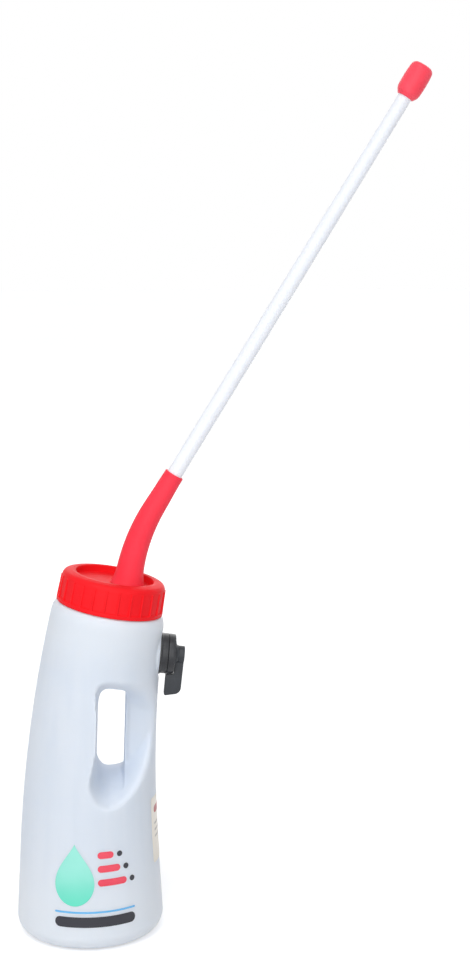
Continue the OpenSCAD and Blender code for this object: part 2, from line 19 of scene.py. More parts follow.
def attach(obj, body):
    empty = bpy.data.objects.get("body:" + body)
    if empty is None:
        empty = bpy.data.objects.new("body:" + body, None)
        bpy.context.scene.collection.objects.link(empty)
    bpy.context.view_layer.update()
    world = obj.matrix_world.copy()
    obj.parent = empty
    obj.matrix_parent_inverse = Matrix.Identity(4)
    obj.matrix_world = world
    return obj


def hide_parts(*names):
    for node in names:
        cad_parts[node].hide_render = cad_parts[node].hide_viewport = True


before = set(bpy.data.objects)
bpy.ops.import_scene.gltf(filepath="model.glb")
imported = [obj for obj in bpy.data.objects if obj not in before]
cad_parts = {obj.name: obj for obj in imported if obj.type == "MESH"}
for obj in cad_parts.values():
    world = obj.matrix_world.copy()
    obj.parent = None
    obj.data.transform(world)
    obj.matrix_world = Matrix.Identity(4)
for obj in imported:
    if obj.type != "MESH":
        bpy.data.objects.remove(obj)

LOG = logging.getLogger("drencher")
MM = 0.001
PURE_WHITE = (1.0, 1.0, 1.0, 1.0)
FULL_TURN = 2.0 * math.pi
Colour = tuple[float, float, float]
Station = tuple[float, float]
Corner = tuple[float, float, float]
Socket = bpy.types.NodeSocket


class Body(Enum):
    """CAD bodies that the pieces ride on."""

    BOTTLE = "bottle"
    CAP = "cap"
    SPOUT = "spout"
    PROBE = "probe"
    LEVER = "flow_lever"


class Slot(Enum):
    """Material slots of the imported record."""

    BOTTLE = "bottle_wall"
    CAP = "cap_red"
    SPOUT = "spout_soft"
    TUBE = "tube_white"
    BULB = "bulb_soft"
    VALVE = "valve_black"
    FRONT = "label_front"
    SIDE = "label_side"


def screen(red: int, green: int, blue: int) -> Colour:
    """Linear colour of an 8-bit screen colour."""
    return tuple(
        c / 12.92 if c <= 0.04045 else ((c + 0.055) / 1.055) ** 2.4
        for c in (red / 255, green / 255, blue / 255)
    )


def clamp(value: float, low: float, high: float) -> float:
    """Value held between low and high."""
    return min(max(value, low), high)


def nearest(values: list[float], goal: float) -> int:
    """Number of the value that lies nearest to a goal."""
    return min(range(len(values)), key=lambda k: abs(values[k] - goal))


def ease(low: float, high: float, value: float) -> float:
    """Smooth step from 0 at low to 1 at high."""
    t = clamp((value - low) / (high - low), 0.0, 1.0)
    return t * t * (3.0 - 2.0 * t)


class Wiring:
    """Short way to add and join the nodes of a shader tree."""

    def __init__(self, tree: bpy.types.NodeTree) -> None:
        """Keeps the tree that the nodes go into."""
        self.tree = tree

    @classmethod
    def fresh(cls, owner: bpy.types.Material | bpy.types.World) -> "Wiring":
        """Wiring of an emptied material or world.

        Args:
            owner: the material or the world.

        Returns:
            The wiring of its empty tree.
        """
        owner.use_nodes = True
        owner.node_tree.nodes.clear()
        return cls(owner.node_tree)

    def add(self, kind: str, sockets: dict | None = None, **settings: object) -> bpy.types.Node:
        """Adds a node.

        Args:
            kind: Blender's name of the node type.
            sockets: values or other nodes' outputs for the inputs, by name or number.
            settings: properties of the node itself.

        Returns:
            The new node.
        """
        node = self.tree.nodes.new(kind)
        for key, value in settings.items():
            setattr(node, key, value)
        for key, value in (sockets or {}).items():
            if isinstance(value, Socket):
                self.tree.links.new(value, node.inputs[key])
            else:
                node.inputs[key].default_value = value
        return node

    def math(self, operation: str, a: object, b: object = 0.0) -> Socket:
        """Result of a Math node on two values."""
        return self.add("ShaderNodeMath", {0: a, 1: b}, operation=operation).outputs[0]

    def blend(self, share: object, a: object, b: object) -> Socket:
        """Colour between a and b."""
        return self.add("ShaderNodeMix", {0: share, 6: a, 7: b}, data_type="RGBA").outputs[2]

    def noise(self, vector: object, scale: object, detail: float = 2.0) -> Socket:
        """Noise value over a vector."""
        sockets = {"Vector": vector, "Scale": scale, "Detail": detail}
        return self.add("ShaderNodeTexNoise", sockets).outputs[0]

    def remap(self, value: object, low: float, high: float, to_low: float, to_high: float) -> Socket:
        """Value carried smoothly from one span to another and held there."""
        sockets = {0: value, 1: low, 2: high, 3: to_low, 4: to_high}
        return self.add("ShaderNodeMapRange", sockets, interpolation_type="SMOOTHSTEP").outputs[0]

    def stretch(self, vector: object, scale: Corner, rotation: Corner = (0.0, 0.0, 0.0)) -> Socket:
        """Vector scaled and turned for a pattern."""
        sockets = {"Vector": vector, "Scale": scale, "Rotation": rotation}
        return self.add("ShaderNodeMapping", sockets).outputs[0]

    def height(self, place: Socket, axis: int = 2) -> Socket:
        """One coordinate of a place, by default its height."""
        return self.add("ShaderNodeSeparateXYZ", {0: place}).outputs[axis]

    def drive(self, sink: bpy.types.Node, values: dict[str, Socket]) -> None:
        """Joins outputs to a node's named inputs."""
        for key, value in values.items():
            self.tree.links.new(value, sink.inputs[key])


class Groups:
    """Shared surface effects, each built once as a node group."""

    @staticmethod
    def _open(
        name: str, inputs: dict[str, str], outputs: dict[str, str],
    ) -> tuple[Wiring, dict[str, Socket], bpy.types.Node]:
        """Starts a group.

        Args:
            name: the group's name.
            inputs: input names and their socket types.
            outputs: output names and their socket types.

        Returns:
            The wiring of the new tree, its input sockets by name, and its output node.
        """
        tree = bpy.data.node_groups.new(name, "ShaderNodeTree")
        for side, sockets in (("INPUT", inputs), ("OUTPUT", outputs)):
            for label, kind in sockets.items():
                tree.interface.new_socket(name=label, in_out=side, socket_type="NodeSocket" + kind)
        wiring = Wiring(tree)
        source = wiring.add("NodeGroupInput")
        return wiring, {label: source.outputs[label] for label in inputs}, wiring.add("NodeGroupOutput")

    @classmethod
    @cache
    def moulded_skin(cls) -> bpy.types.NodeTree:
        """Mottled colour, uneven gloss and fine grain of a moulded surface.

        Returns:
            The node group.
        """
        wiring, source, sink = cls._open(
            "moulded_skin",
            {
                "Vector": "Vector", "Color": "Color", "Shade": "Color", "Mottle Scale": "Float",
                "Grain Scale": "Float", "Roughness": "Float", "Spread": "Float",
            },
            {"Color": "Color", "Roughness": "Float", "Height": "Float"},
        )
        mottle = wiring.noise(source["Vector"], source["Mottle Scale"], 3.0)
        cloud = wiring.remap(mottle, 0.32, 0.68, 0.0, 1.0)
        grain = wiring.noise(source["Vector"], source["Grain Scale"], 2.0)
        patch = wiring.noise(source["Vector"], wiring.math("MULTIPLY", source["Mottle Scale"], 2.7), 2.0)
        offset = wiring.math("MULTIPLY", wiring.math("SUBTRACT", patch, 0.5), source["Spread"])
        tone = wiring.blend(cloud, source["Color"], source["Shade"])
        gloss = wiring.math("ADD", source["Roughness"], offset)
        wiring.drive(sink, {"Color": tone, "Roughness": gloss, "Height": grain})
        return wiring.tree

    @classmethod
    @cache
    def handling_marks(cls) -> bpy.types.NodeTree:
        """Thin, faint rubbed lines that lie mostly round the piece.

        Returns:
            The node group.
        """
        wiring, source, sink = cls._open(
            "handling_marks", {"Vector": "Vector", "Scale": "Float", "Amount": "Float"}, {"Mask": "Float"},
        )
        drawn = wiring.stretch(source["Vector"], (0.5, 0.5, 6.0), (0.12, 0.2, 0.0))
        lines = wiring.remap(wiring.noise(drawn, source["Scale"], 4.0), 0.58, 0.7, 0.0, 1.0)
        wide = wiring.math("MULTIPLY", source["Scale"], 0.3)
        area = wiring.remap(wiring.noise(source["Vector"], wide), 0.45, 0.65, 0.0, 1.0)
        mask = wiring.math("MULTIPLY", wiring.math("MULTIPLY", lines, area), source["Amount"])
        wiring.drive(sink, {"Mask": mask})
        return wiring.tree

    @classmethod
    @cache
    def blown_wall(cls) -> bpy.types.NodeTree:
        """Tone and ripple of a blown wall: upright flow streaks and soft bands of thickness.

        Returns:
            The node group.
        """
        wiring, source, sink = cls._open(
            "blown_wall", {"Vector": "Vector", "Scale": "Float"}, {"Streaks": "Float", "Ripple": "Float"},
        )
        upright = wiring.stretch(source["Vector"], (1.0, 1.0, 0.06))
        level = wiring.stretch(source["Vector"], (0.25, 0.25, 1.0))
        streaks = wiring.remap(wiring.noise(upright, source["Scale"], 3.0), 0.35, 0.65, 0.0, 1.0)
        bands = wiring.noise(level, wiring.math("MULTIPLY", source["Scale"], 0.35), 1.0)
        ripple = wiring.math("ADD", wiring.math("MULTIPLY", streaks, 0.35), bands)
        wiring.drive(sink, {"Streaks": streaks, "Ripple": ripple})
        return wiring.tree


@dataclass(frozen=True)
class Finish:
    """Moulded finish: two near tones, gloss, grain and faint rubbing."""

    name: str
    colour: Colour
    shade: Colour
    roughness: float
    spread: float = 0.08
    mottle: float = 30.0
    grain: float = 2600.0
    grain_depth: float = 0.00004
    marks: float = 0.0
    mark_colour: Colour = (0.6, 0.6, 0.6)
    mark_scale: float = 60.0
    mark_roughness: float = 0.3
    subsurface: float = 0.0
    scatter: float = 0.004
    scatter_tint: Colour = (1.0, 0.9, 0.8)
    specular: float = 0.5
    metallic: float = 0.0

    def tone(self, wiring: Wiring, place: Socket, colour: Socket) -> Socket:
        """Colour before it reaches the shader; a finish with more tones adds them here."""
        return colour

    def relief(self, wiring: Wiring, place: Socket, height: Socket) -> Socket:
        """Height before it reaches the bump; a finish with more relief adds it here."""
        return height

    @cache
    def material(self) -> bpy.types.Material:
        """Builds the finish once.

        Returns:
            The material, also on later calls.
        """
        made = bpy.data.materials.new(self.name + "_finish")
        wiring = Wiring.fresh(made)
        place = wiring.add("ShaderNodeTexCoord").outputs["Object"]
        skin = wiring.add(
            "ShaderNodeGroup",
            {
                "Vector": place, "Color": (*self.colour, 1.0), "Shade": (*self.shade, 1.0),
                "Mottle Scale": self.mottle, "Grain Scale": self.grain, "Roughness": self.roughness,
                "Spread": self.spread,
            },
            node_tree=Groups.moulded_skin(),
        )
        colour, roughness = skin.outputs["Color"], skin.outputs["Roughness"]
        if self.marks:
            mask = wiring.add(
                "ShaderNodeGroup", {"Vector": place, "Scale": self.mark_scale, "Amount": self.marks},
                node_tree=Groups.handling_marks(),
            ).outputs["Mask"]
            colour = wiring.blend(mask, colour, (*self.mark_colour, 1.0))
            roughness = wiring.math("ADD", roughness, wiring.math("MULTIPLY", mask, self.mark_roughness))
        height = self.relief(wiring, place, skin.outputs["Height"])
        bump = wiring.add("ShaderNodeBump", {"Height": height, "Strength": 1.0, "Distance": self.grain_depth})
        shader = wiring.add(
            "ShaderNodeBsdfPrincipled",
            {
                "Base Color": self.tone(wiring, place, colour), "Roughness": roughness,
                "Normal": bump.outputs[0], "Metallic": self.metallic, "Specular IOR Level": self.specular,
                "Subsurface Weight": self.subsurface, "Subsurface Radius": self.scatter_tint,
                "Subsurface Scale": self.scatter,
            },
        )
        wiring.add("ShaderNodeOutputMaterial", {"Surface": shader.outputs[0]})
        return made


@dataclass(frozen=True)
class BlownWall(Finish):
    """Finish of the blown bottle: flow streaks, painted light that makes the foot and shoulder paler, and a
    parting line.
    """

    # painted light: the paler colour and the foot and shoulder spans below make the ends of the bottle
    # lighter, as if more light fell there
    pale: Colour = screen(238, 244, 253)
    flow: Colour = screen(216, 227, 243)
    flow_scale: float = 70.0
    flow_share: float = 0.35
    ripple: float = 1.6
    painted_light_foot_span: Station = (0.02, 0.11)
    painted_light_foot_share: float = 0.8
    painted_light_shoulder_span: Station = (0.235, 0.275)
    painted_light_shoulder_share: float = 0.6
    seam_span: Station = (0.0001, 0.0005)
    seam_height: float = 2.5

    def blown(self, wiring: Wiring, place: Socket, output: str) -> Socket:
        """One output of the blown wall's group."""
        sockets = {"Vector": place, "Scale": self.flow_scale}
        return wiring.add("ShaderNodeGroup", sockets, node_tree=Groups.blown_wall()).outputs[output]

    def tone(self, wiring: Wiring, place: Socket, colour: Socket) -> Socket:
        """Adds the streaks, and painted light that makes the foot and shoulder paler.

        Args:
            wiring: the material's wiring.
            place: Object coordinates.
            colour: colour of the skin.

        Returns:
            The colour for the shader.
        """
        share = wiring.math("MULTIPLY", self.blown(wiring, place, "Streaks"), self.flow_share)
        streaked = wiring.blend(share, colour, (*self.flow, 1.0))
        height = wiring.height(place)
        # painted light: the foot and shoulder are blended towards the paler colour, as if lit more strongly
        foot = wiring.remap(height, *self.painted_light_foot_span, self.painted_light_foot_share, 0.0)
        shoulder = wiring.remap(height, *self.painted_light_shoulder_span, 0.0, self.painted_light_shoulder_share)
        return wiring.blend(wiring.math("MAXIMUM", foot, shoulder), streaked, (*self.pale, 1.0))

    def relief(self, wiring: Wiring, place: Socket, height: Socket) -> Socket:
        """Adds the ripple of the wall and the fine line where the mould's halves met.

        Args:
            wiring: the material's wiring.
            place: Object coordinates.
            height: height of the skin.

        Returns:
            The height for the bump.
        """
        side = wiring.math("ABSOLUTE", wiring.height(place, 1))
        line = wiring.remap(side, *self.seam_span, self.seam_height, 0.0)
        ripple = wiring.math("MULTIPLY", self.blown(wiring, place, "Ripple"), self.ripple)
        return wiring.math("ADD", wiring.math("ADD", ripple, height), line)


@dataclass(frozen=True)
class Ink(Finish):
    """Print ink that deepens towards its lower edge."""

    deep: Colour = (0.1, 0.1, 0.1)
    low: float = 0.03
    high: float = 0.08

    def tone(self, wiring: Wiring, place: Socket, colour: Socket) -> Socket:
        """Adds the deeper tone below."""
        share = wiring.remap(wiring.height(place), self.low, self.high, 1.0, 0.0)
        return wiring.blend(share, colour, (*self.deep, 1.0))


BLOWN_WHITE = BlownWall(
    "blown_white", screen(228, 236, 249), screen(224, 233, 247), 0.46, 0.1, 14.0, 1500.0, 0.00008,
    marks=0.08, mark_colour=screen(232, 238, 247), subsurface=0.6, scatter=0.012, specular=0.3,
)
CAP_RED = Finish(
    "cap_red", screen(241, 27, 36), screen(237, 22, 31), 0.5, 0.1, 26.0, 2400.0, 0.00003,
    marks=0.08, mark_colour=screen(248, 64, 70), specular=0.14,
)
SPOUT_RED = Finish(
    "spout_red", screen(248, 60, 78), screen(245, 54, 72), 0.52, 0.1, 24.0, 1800.0, 0.00004,
    marks=0.06, mark_colour=screen(250, 104, 118), subsurface=0.12, specular=0.18,
)
BULB_RED = Finish(
    "bulb_red", screen(250, 80, 98), screen(245, 70, 88), 0.42, 0.1, 40.0, 1800.0, 0.00004,
    subsurface=0.15, specular=0.25,
)
TUBE_WHITE = Finish(
    "tube_white", screen(238, 241, 247), screen(235, 238, 245), 0.36, 0.06, 9.0, 1200.0, 0.00001,
    subsurface=0.2, specular=0.35,
)
VALVE_BLACK = Finish(
    "valve_black", screen(26, 27, 31), screen(34, 36, 41), 0.3, 0.12, 60.0, 3000.0, 0.00004,
    marks=0.1, mark_colour=screen(84, 87, 94), specular=0.45,
)
LEVER_BLACK = Finish(
    "lever_black", screen(42, 45, 50), screen(50, 53, 58), 0.42, 0.12, 60.0, 3200.0, 0.00004,
    marks=0.12, mark_colour=screen(90, 94, 100), specular=0.36,
)
ROTOR_GREY = Finish("rotor_grey", screen(150, 152, 156), screen(140, 142, 147), 0.45, 0.1, 60.0)
SEAL_BLACK = Finish("seal_black", screen(36, 36, 38), screen(46, 46, 48), 0.6, 0.1, 80.0)
SEAL_WHITE = Finish(
    "seal_white", screen(236, 235, 231), screen(228, 227, 222), 0.52, 0.1, 50.0, subsurface=0.1,
)
SCREW_STEEL = Finish(
    "screw_steel", screen(196, 197, 199), screen(170, 172, 176), 0.3, 0.16, 300.0, 4000.0, 0.00003,
    metallic=1.0,
)
MINT_INK = Ink("mint_ink", screen(150, 226, 211), screen(140, 221, 205), 0.3, deep=screen(80, 214, 184))
RED_INK = Ink("red_ink", screen(234, 74, 94), screen(228, 66, 86), 0.3, deep=screen(222, 60, 80))
CHARCOAL_INK = Ink("charcoal_ink", screen(46, 46, 56), screen(40, 40, 50), 0.32, deep=screen(36, 36, 46))
BLUE_INK = Ink("blue_ink", screen(116, 192, 240), screen(108, 186, 236), 0.3, deep=screen(96, 178, 232))
STICKER_CREAM = Ink(
    "sticker_cream", screen(236, 230, 219), screen(231, 225, 213), 0.34, deep=screen(228, 221, 208),
    low=0.05, high=0.11,
)
STICKER_RED = Ink("sticker_red", screen(170, 52, 56), screen(160, 46, 50), 0.34, deep=screen(150, 42, 46))
STICKER_GREY = Ink(
    "sticker_grey", screen(184, 180, 174), screen(176, 172, 166), 0.36, deep=screen(170, 166, 160),
)


def round_corners(points: list[Corner], steps: int = 5) -> list[Station]:
    """Outline with its corners rounded.

    Args:
        points: two coordinates and a corner radius for each point; the ends stay as they are.
        steps: segments of each rounded corner.

    Returns:
        The points of the rounded outline, in order.
    """
    made: list[Station] = [points[0][:2]]
    for before, here, after in zip(points, points[1:], points[2:]):
        corner, radius = Vector(here[:2]), here[2]
        if radius <= 0.0:
            made.append(here[:2])
            continue
        back, on = (Vector(before[:2]) - corner).normalized(), (Vector(after[:2]) - corner).normalized()
        half = 0.5 * back.angle(on)
        middle = corner + (back + on).normalized() * (radius / math.sin(half))
        start = corner + back * (radius / math.tan(half)) - middle
        sweep = start.angle_signed(corner + on * (radius / math.tan(half)) - middle)
        for step in range(steps + 1):
            spoke = start.copy()
            spoke.rotate(Matrix.Rotation(-sweep * step / steps, 2))
            made.append(tuple(middle + spoke))
    made.append(points[-1][:2])
    return made


def turn(bm: BMesh, outline: list[Station], steps: int, at: Matrix, closed: bool = False) -> None:
    """Turns an outline of radii and heights about its axis.

    Args:
        bm: mesh that takes the turned form.
        outline: radius and height of each point, in order.
        steps: sides of the turned form.
        at: place of the axis.
        closed: whether the outline runs back to its start.
    """
    old = set(bm.verts)
    wire = [bm.verts.new((radius, 0.0, height)) for radius, height in outline]
    pairs = list(zip(wire, wire[1:])) + ([(wire[-1], wire[0])] if closed else [])
    edges = [bm.edges.new(pair) for pair in pairs]
    bmesh.ops.spin(
        bm, geom=wire + edges, cent=(0, 0, 0), axis=(0, 0, 1), dvec=(0, 0, 0), angle=FULL_TURN, steps=steps,
        use_merge=True, use_normal_flip=False, use_duplicate=False,
    )
    bmesh.ops.remove_doubles(bm, verts=[v for v in bm.verts if v not in old], dist=0.001)
    bmesh.ops.transform(bm, matrix=at, verts=[v for v in bm.verts if v not in old])


def loop(ring: list[BMVert]) -> list[tuple[BMVert, BMVert]]:
    """Neighbouring pairs of a closed ring of vertices."""
    return list(zip(ring, ring[1:] + ring[:1]))


def verts_of(geom: list) -> list[BMVert]:
    """The vertices among what an operator made."""
    return [v for v in geom if isinstance(v, BMVert)]


def edges_of(verts: list[BMVert]) -> list[BMEdge]:
    """The edges that meet at vertices, each once."""
    return list({e for v in verts for e in v.link_edges})


def push(bm: BMesh, faces: list[BMFace], by: Vector) -> None:
    """Extrudes faces by a vector."""
    grown = bmesh.ops.extrude_face_region(bm, geom=faces)["geom"]
    bmesh.ops.translate(bm, vec=by, verts=verts_of(grown))


def soften(bm: BMesh, edges: list[BMEdge], offset: float, segments: int) -> list[BMVert]:
    """Rounds edges over, and gives back the vertices that this made."""
    return bmesh.ops.bevel(
        bm, geom=edges, offset=offset, offset_type="OFFSET", segments=segments, profile=0.5,
        affect="EDGES", material=-1, clamp_overlap=True,
    )["verts"]


def carry(bm: BMesh, ring: list[BMVert], stations: list[Matrix]) -> list[list[BMVert]]:
    """Carries a closed ring of vertices through stations, with a band of faces between each two.

    Args:
        bm: mesh that holds the ring.
        ring: vertices in order, made for a station at the origin.
        stations: place, turn and scale of the ring at each stop.

    Returns:
        The ring's vertices at every station, in the same order.
    """
    bmesh.ops.transform(bm, matrix=stations[0], verts=ring)
    rings = [ring]
    for here, there in zip(stations, stations[1:]):
        last = rings[-1]
        edges = [bm.edges.get(pair) or bm.edges.new(pair) for pair in loop(last)]
        fresh = set(verts_of(bmesh.ops.extrude_edge_only(bm, edges=edges)["geom"]))
        bmesh.ops.transform(bm, matrix=there @ here.inverted(), verts=list(fresh))
        rings.append([next(e.other_vert(v) for e in v.link_edges if e.other_vert(v) in fresh) for v in last])
    return rings


def circle(bm: BMesh, sides: int) -> list[BMVert]:
    """Ring of vertices of radius 1 about the origin, in order."""
    made = bmesh.ops.create_circle(bm, cap_ends=False, segments=sides, radius=1.0)["verts"]
    return sorted(made, key=lambda v: math.atan2(v.co.y, v.co.x))


def swell(place: Matrix, radius: float) -> Matrix:
    """Station of a ring of radius 1 that takes another radius."""
    return place @ Matrix.Diagonal((radius, radius, 1.0, 1.0))


def helix(bm: BMesh, root: float, crest: float, start: float, at: Matrix) -> None:
    """Adds a screw thread to a turned form.

    Args:
        bm: mesh that takes the thread.
        root: radius of the thread's root.
        crest: radius of its crest.
        start: height of its start.
        at: place of the thread's axis.
    """
    pitch, turns, steps = 6.0, 1.5, 120
    root_w, crest_w = 2.6, 1.2
    lead, faintest = math.radians(24), 0.15
    section = bmesh.ops.create_circle(bm, cap_ends=True, segments=4, radius=1.0)["verts"]
    for v, (out, up) in zip(section, ((0.0, -0.5), (0.0, 0.5), (1.0, 0.5), (1.0, -0.5))):
        v.co = (out, 0.0, up * (crest_w if out else root_w))
    stations = []
    for step in range(steps + 1):
        angle = FULL_TURN * turns * step / steps
        fade = clamp(min(angle, FULL_TURN * turns - angle) / lead, faintest, 1.0)
        foot = Matrix.Translation((root, 0.0, start + pitch * angle / FULL_TURN))
        tooth = Matrix.Diagonal(((crest - root) * fade, 1.0, 1.0, 1.0))
        stations.append(at @ Matrix.Rotation(angle, 4, "Z") @ foot @ tooth)
    rings = carry(bm, section, stations)
    bm.faces.new(rings[-1])


def finish_piece(
    name: str, bm: BMesh, body: Body, finishes: list[Finish], replaces: tuple[str, ...] = (),
    sharp: float = 38.0,
) -> None:
    """Turns a finished mesh into a dressed piece on its body.

    Args:
        name: the piece's name.
        bm: its mesh, in millimetres; it is freed.
        body: the CAD body that it rides on.
        finishes: its finishes, in the order of the faces' material numbers.
        replaces: CAD nodes that it stands for.
        sharp: angle in degrees past which an edge shades sharp.
    """
    bmesh.ops.scale(bm, vec=(MM, MM, MM), verts=bm.verts)
    bmesh.ops.recalc_face_normals(bm, faces=bm.faces)
    for face in bm.faces:
        face.smooth = True
    mesh = bpy.data.meshes.new(name)
    bm.to_mesh(mesh)
    bm.free()
    mesh.set_sharp_from_angle(angle=math.radians(sharp))
    for finish in finishes:
        mesh.materials.append(finish.material())
    piece = bpy.data.objects.new(name, mesh)
    bpy.context.scene.collection.objects.link(piece)
    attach(piece, body.value)
    if replaces:
        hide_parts(*replaces)
    LOG.info("%s on %s: %d faces", name, body.value, len(mesh.polygons))


def bent_path(straight: float, radius: float, sweep: float, length: float) -> Matrix:
    """Place and lean on a path that runs up, bends towards +X, and then runs straight on.

    Args:
        straight: length of the upright start.
        radius: radius of the bend.
        sweep: length of the bend.
        length: length along the path.

    Returns:
        The frame at that length.
    """
    angle = clamp(length - straight, 0.0, sweep) / radius
    over = max(0.0, length - straight - sweep)
    x = radius * (1.0 - math.cos(angle)) + over * math.sin(angle)
    z = min(length, straight) + radius * math.sin(angle) + over * math.cos(angle)
    return Matrix.Translation((x, 0.0, z)) @ Matrix.Rotation(angle, 4, "Y")


@dataclass(frozen=True)
class Centreline:
    """The body's centreline, upright and then leaning, with its taper."""

    base_r: float = 64.5
    top_r: float = 48.4
    length: float = 288.0
    bend_start: float = 75.0
    tilt: float = math.radians(10.5)

    @property
    def bend_r(self) -> float:
        """Radius of the bend."""
        return (self.length - self.bend_start) / self.tilt

    def radius(self, s: float) -> float:
        """Radius of the body at station s."""
        return self.base_r + (self.top_r - self.base_r) * s / self.length

    def frame(self, s: float) -> Matrix:
        """Place and lean of the body at station s; past the shoulder it runs straight on."""
        return bent_path(self.bend_start, self.bend_r, self.length - self.bend_start, s)

    def locate(self, x: float, z: float) -> Station:
        """Station, and offset from the centreline, of a point seen from the front.

        Args:
            x: place seen from the front.
            z: height.

        Returns:
            The station and the offset.
        """
        if z <= self.bend_start:
            return z, x
        reach, rise = self.bend_r - x, z - self.bend_start
        station = self.bend_start + self.bend_r * math.atan2(rise, reach)
        return station, self.bend_r - math.hypot(reach, rise)

    def on_skin(self, s: float, angle: float, stand: float) -> Vector:
        """Point that stands off the plain round skin at station s, at an angle from +X."""
        radius = self.radius(s) + stand
        return self.frame(s) @ Vector((radius * math.cos(angle), radius * math.sin(angle), 0.0))


LINE = Centreline()
NECK = LINE.frame(LINE.length)
SPOUT_X = 12.0
ROOF_HIGH = 23.0
ROOF = NECK @ Matrix.Translation((SPOUT_X, 0.0, ROOF_HIGH))
VALVE_STATION = 254.6
WALL_DRAFT = math.atan((LINE.base_r - LINE.top_r) / LINE.length)
VALVE_LEAN = (VALVE_STATION - LINE.bend_start) / LINE.bend_r - WALL_DRAFT
PAD_SINK = 1.2
PAD = (
    Matrix.Translation(LINE.on_skin(VALVE_STATION, 0.0, 0.0))
    @ Matrix.Rotation(0.5 * math.pi + VALVE_LEAN, 4, "Y")
    @ Matrix.Translation((0.0, 0.0, -PAD_SINK))
)
TO_PAD = PAD.inverted()


@dataclass(frozen=True)
class Grip:
    """Hand hole through the body, with the soft scoops that lead into it from both sides."""

    x: float = 19.88
    z: float = 181.51
    half_w: float = 11.75
    half_h: float = 36.0
    lean: float = math.radians(2.0)
    left_corner: float = 10.0
    right_corner: float = 4.0
    level: float = 0.085
    flare_right: float = 0.8
    flare_low: float = 7.5
    flare_high: float = 3.5
    depth: float = 17.5
    lip_x: float = 17.6
    lip_low: float = 123.4
    lip_high: float = 236.0
    ramp: float = 20.0
    ramp_grow: float = 0.4
    low_bow: Station = (0.046, 0.022)
    high_bow: Station = (0.040, 0.005)
    wall_left: float = 0.6
    wall_right: float = 1.4
    low_spread: float = 8.0
    low_fade: Station = (184.0, 134.0)
    high_spread: float = 2.5
    high_fade: Station = (198.0, 224.0)
    low_more: float = 0.6
    corner_grow: float = 1.5

    def edge(self, z: float) -> float:
        """Where the hole's left side stands at height z."""
        return self.x - self.half_w + math.tan(self.lean) * (z - self.z)

    def share(self, x: float, z: float) -> float:
        """How far the skin is drawn in at a point seen from the front, from 0 to 1.

        Args:
            x: place seen from the front.
            z: height.

        Returns:
            The share.
        """
        off, edge = x - self.lip_x, self.edge(z)
        side = 0 if off < 0.0 else 1
        low = self.lip_low + self.low_bow[side] * off * off
        high = self.lip_high - self.high_bow[side] * off * off
        spread = self.low_spread * ease(*self.low_fade, z) + self.high_spread * ease(*self.high_fade, z)
        wall = ease(edge - self.wall_left - spread, edge + self.wall_right + 0.5 * spread, x)
        grow = self.ramp_grow * max(0.0, off)
        return wall * ease(low, low + self.ramp + grow, z) * ease(high, high - self.ramp - grow, z)

    def skin_depth(self, x: float, z: float) -> float:
        """Half depth of the body, front to back, at a point seen from the front.

        Args:
            x: place seen from the front.
            z: height.

        Returns:
            The half depth.
        """
        s, u = LINE.locate(x, z)
        half = math.sqrt(max(LINE.radius(s) ** 2 - u * u, 0.0))
        share = self.share(x, z)
        return half * (1.0 - share) + share * half * self.depth / math.hypot(half, self.depth)

    def outline(self, x: float, z: float, flare: float) -> Station:
        """Nearest point of the hole's outline.

        Args:
            x: place seen from the front.
            z: height.
            flare: share of the flare, 0 at the hole's waist and 1 at its rim.

        Returns:
            The outline's point.
        """
        c, n = math.cos(self.lean), math.sin(self.lean)
        p, q = (x - self.x) * c - (z - self.z) * n, (x - self.x) * n + (z - self.z) * c
        right = self.half_w + self.flare_right * flare
        drop = self.level * (clamp(p, -self.half_w, self.half_w) + self.half_w)
        low = self.half_h + self.low_more + self.flare_low * flare + drop
        high = self.half_h + self.flare_high * flare + drop
        radius = self.left_corner + flare if p < 0.0 else self.right_corner + self.corner_grow * flare
        mid_p = clamp(p, radius - self.half_w, right - radius)
        mid_q = clamp(q, radius - low, high - radius)
        out = Vector((p - mid_p, q - mid_q))
        if out.length < 1e-6:
            out = Vector((p, 0.0)) if abs(p) > 1e-6 else Vector((0.0, q))
        out = out.normalized() * radius
        p, q = mid_p + out.x, mid_q + out.y
        return self.x + p * c + q * n, self.z - p * n + q * c


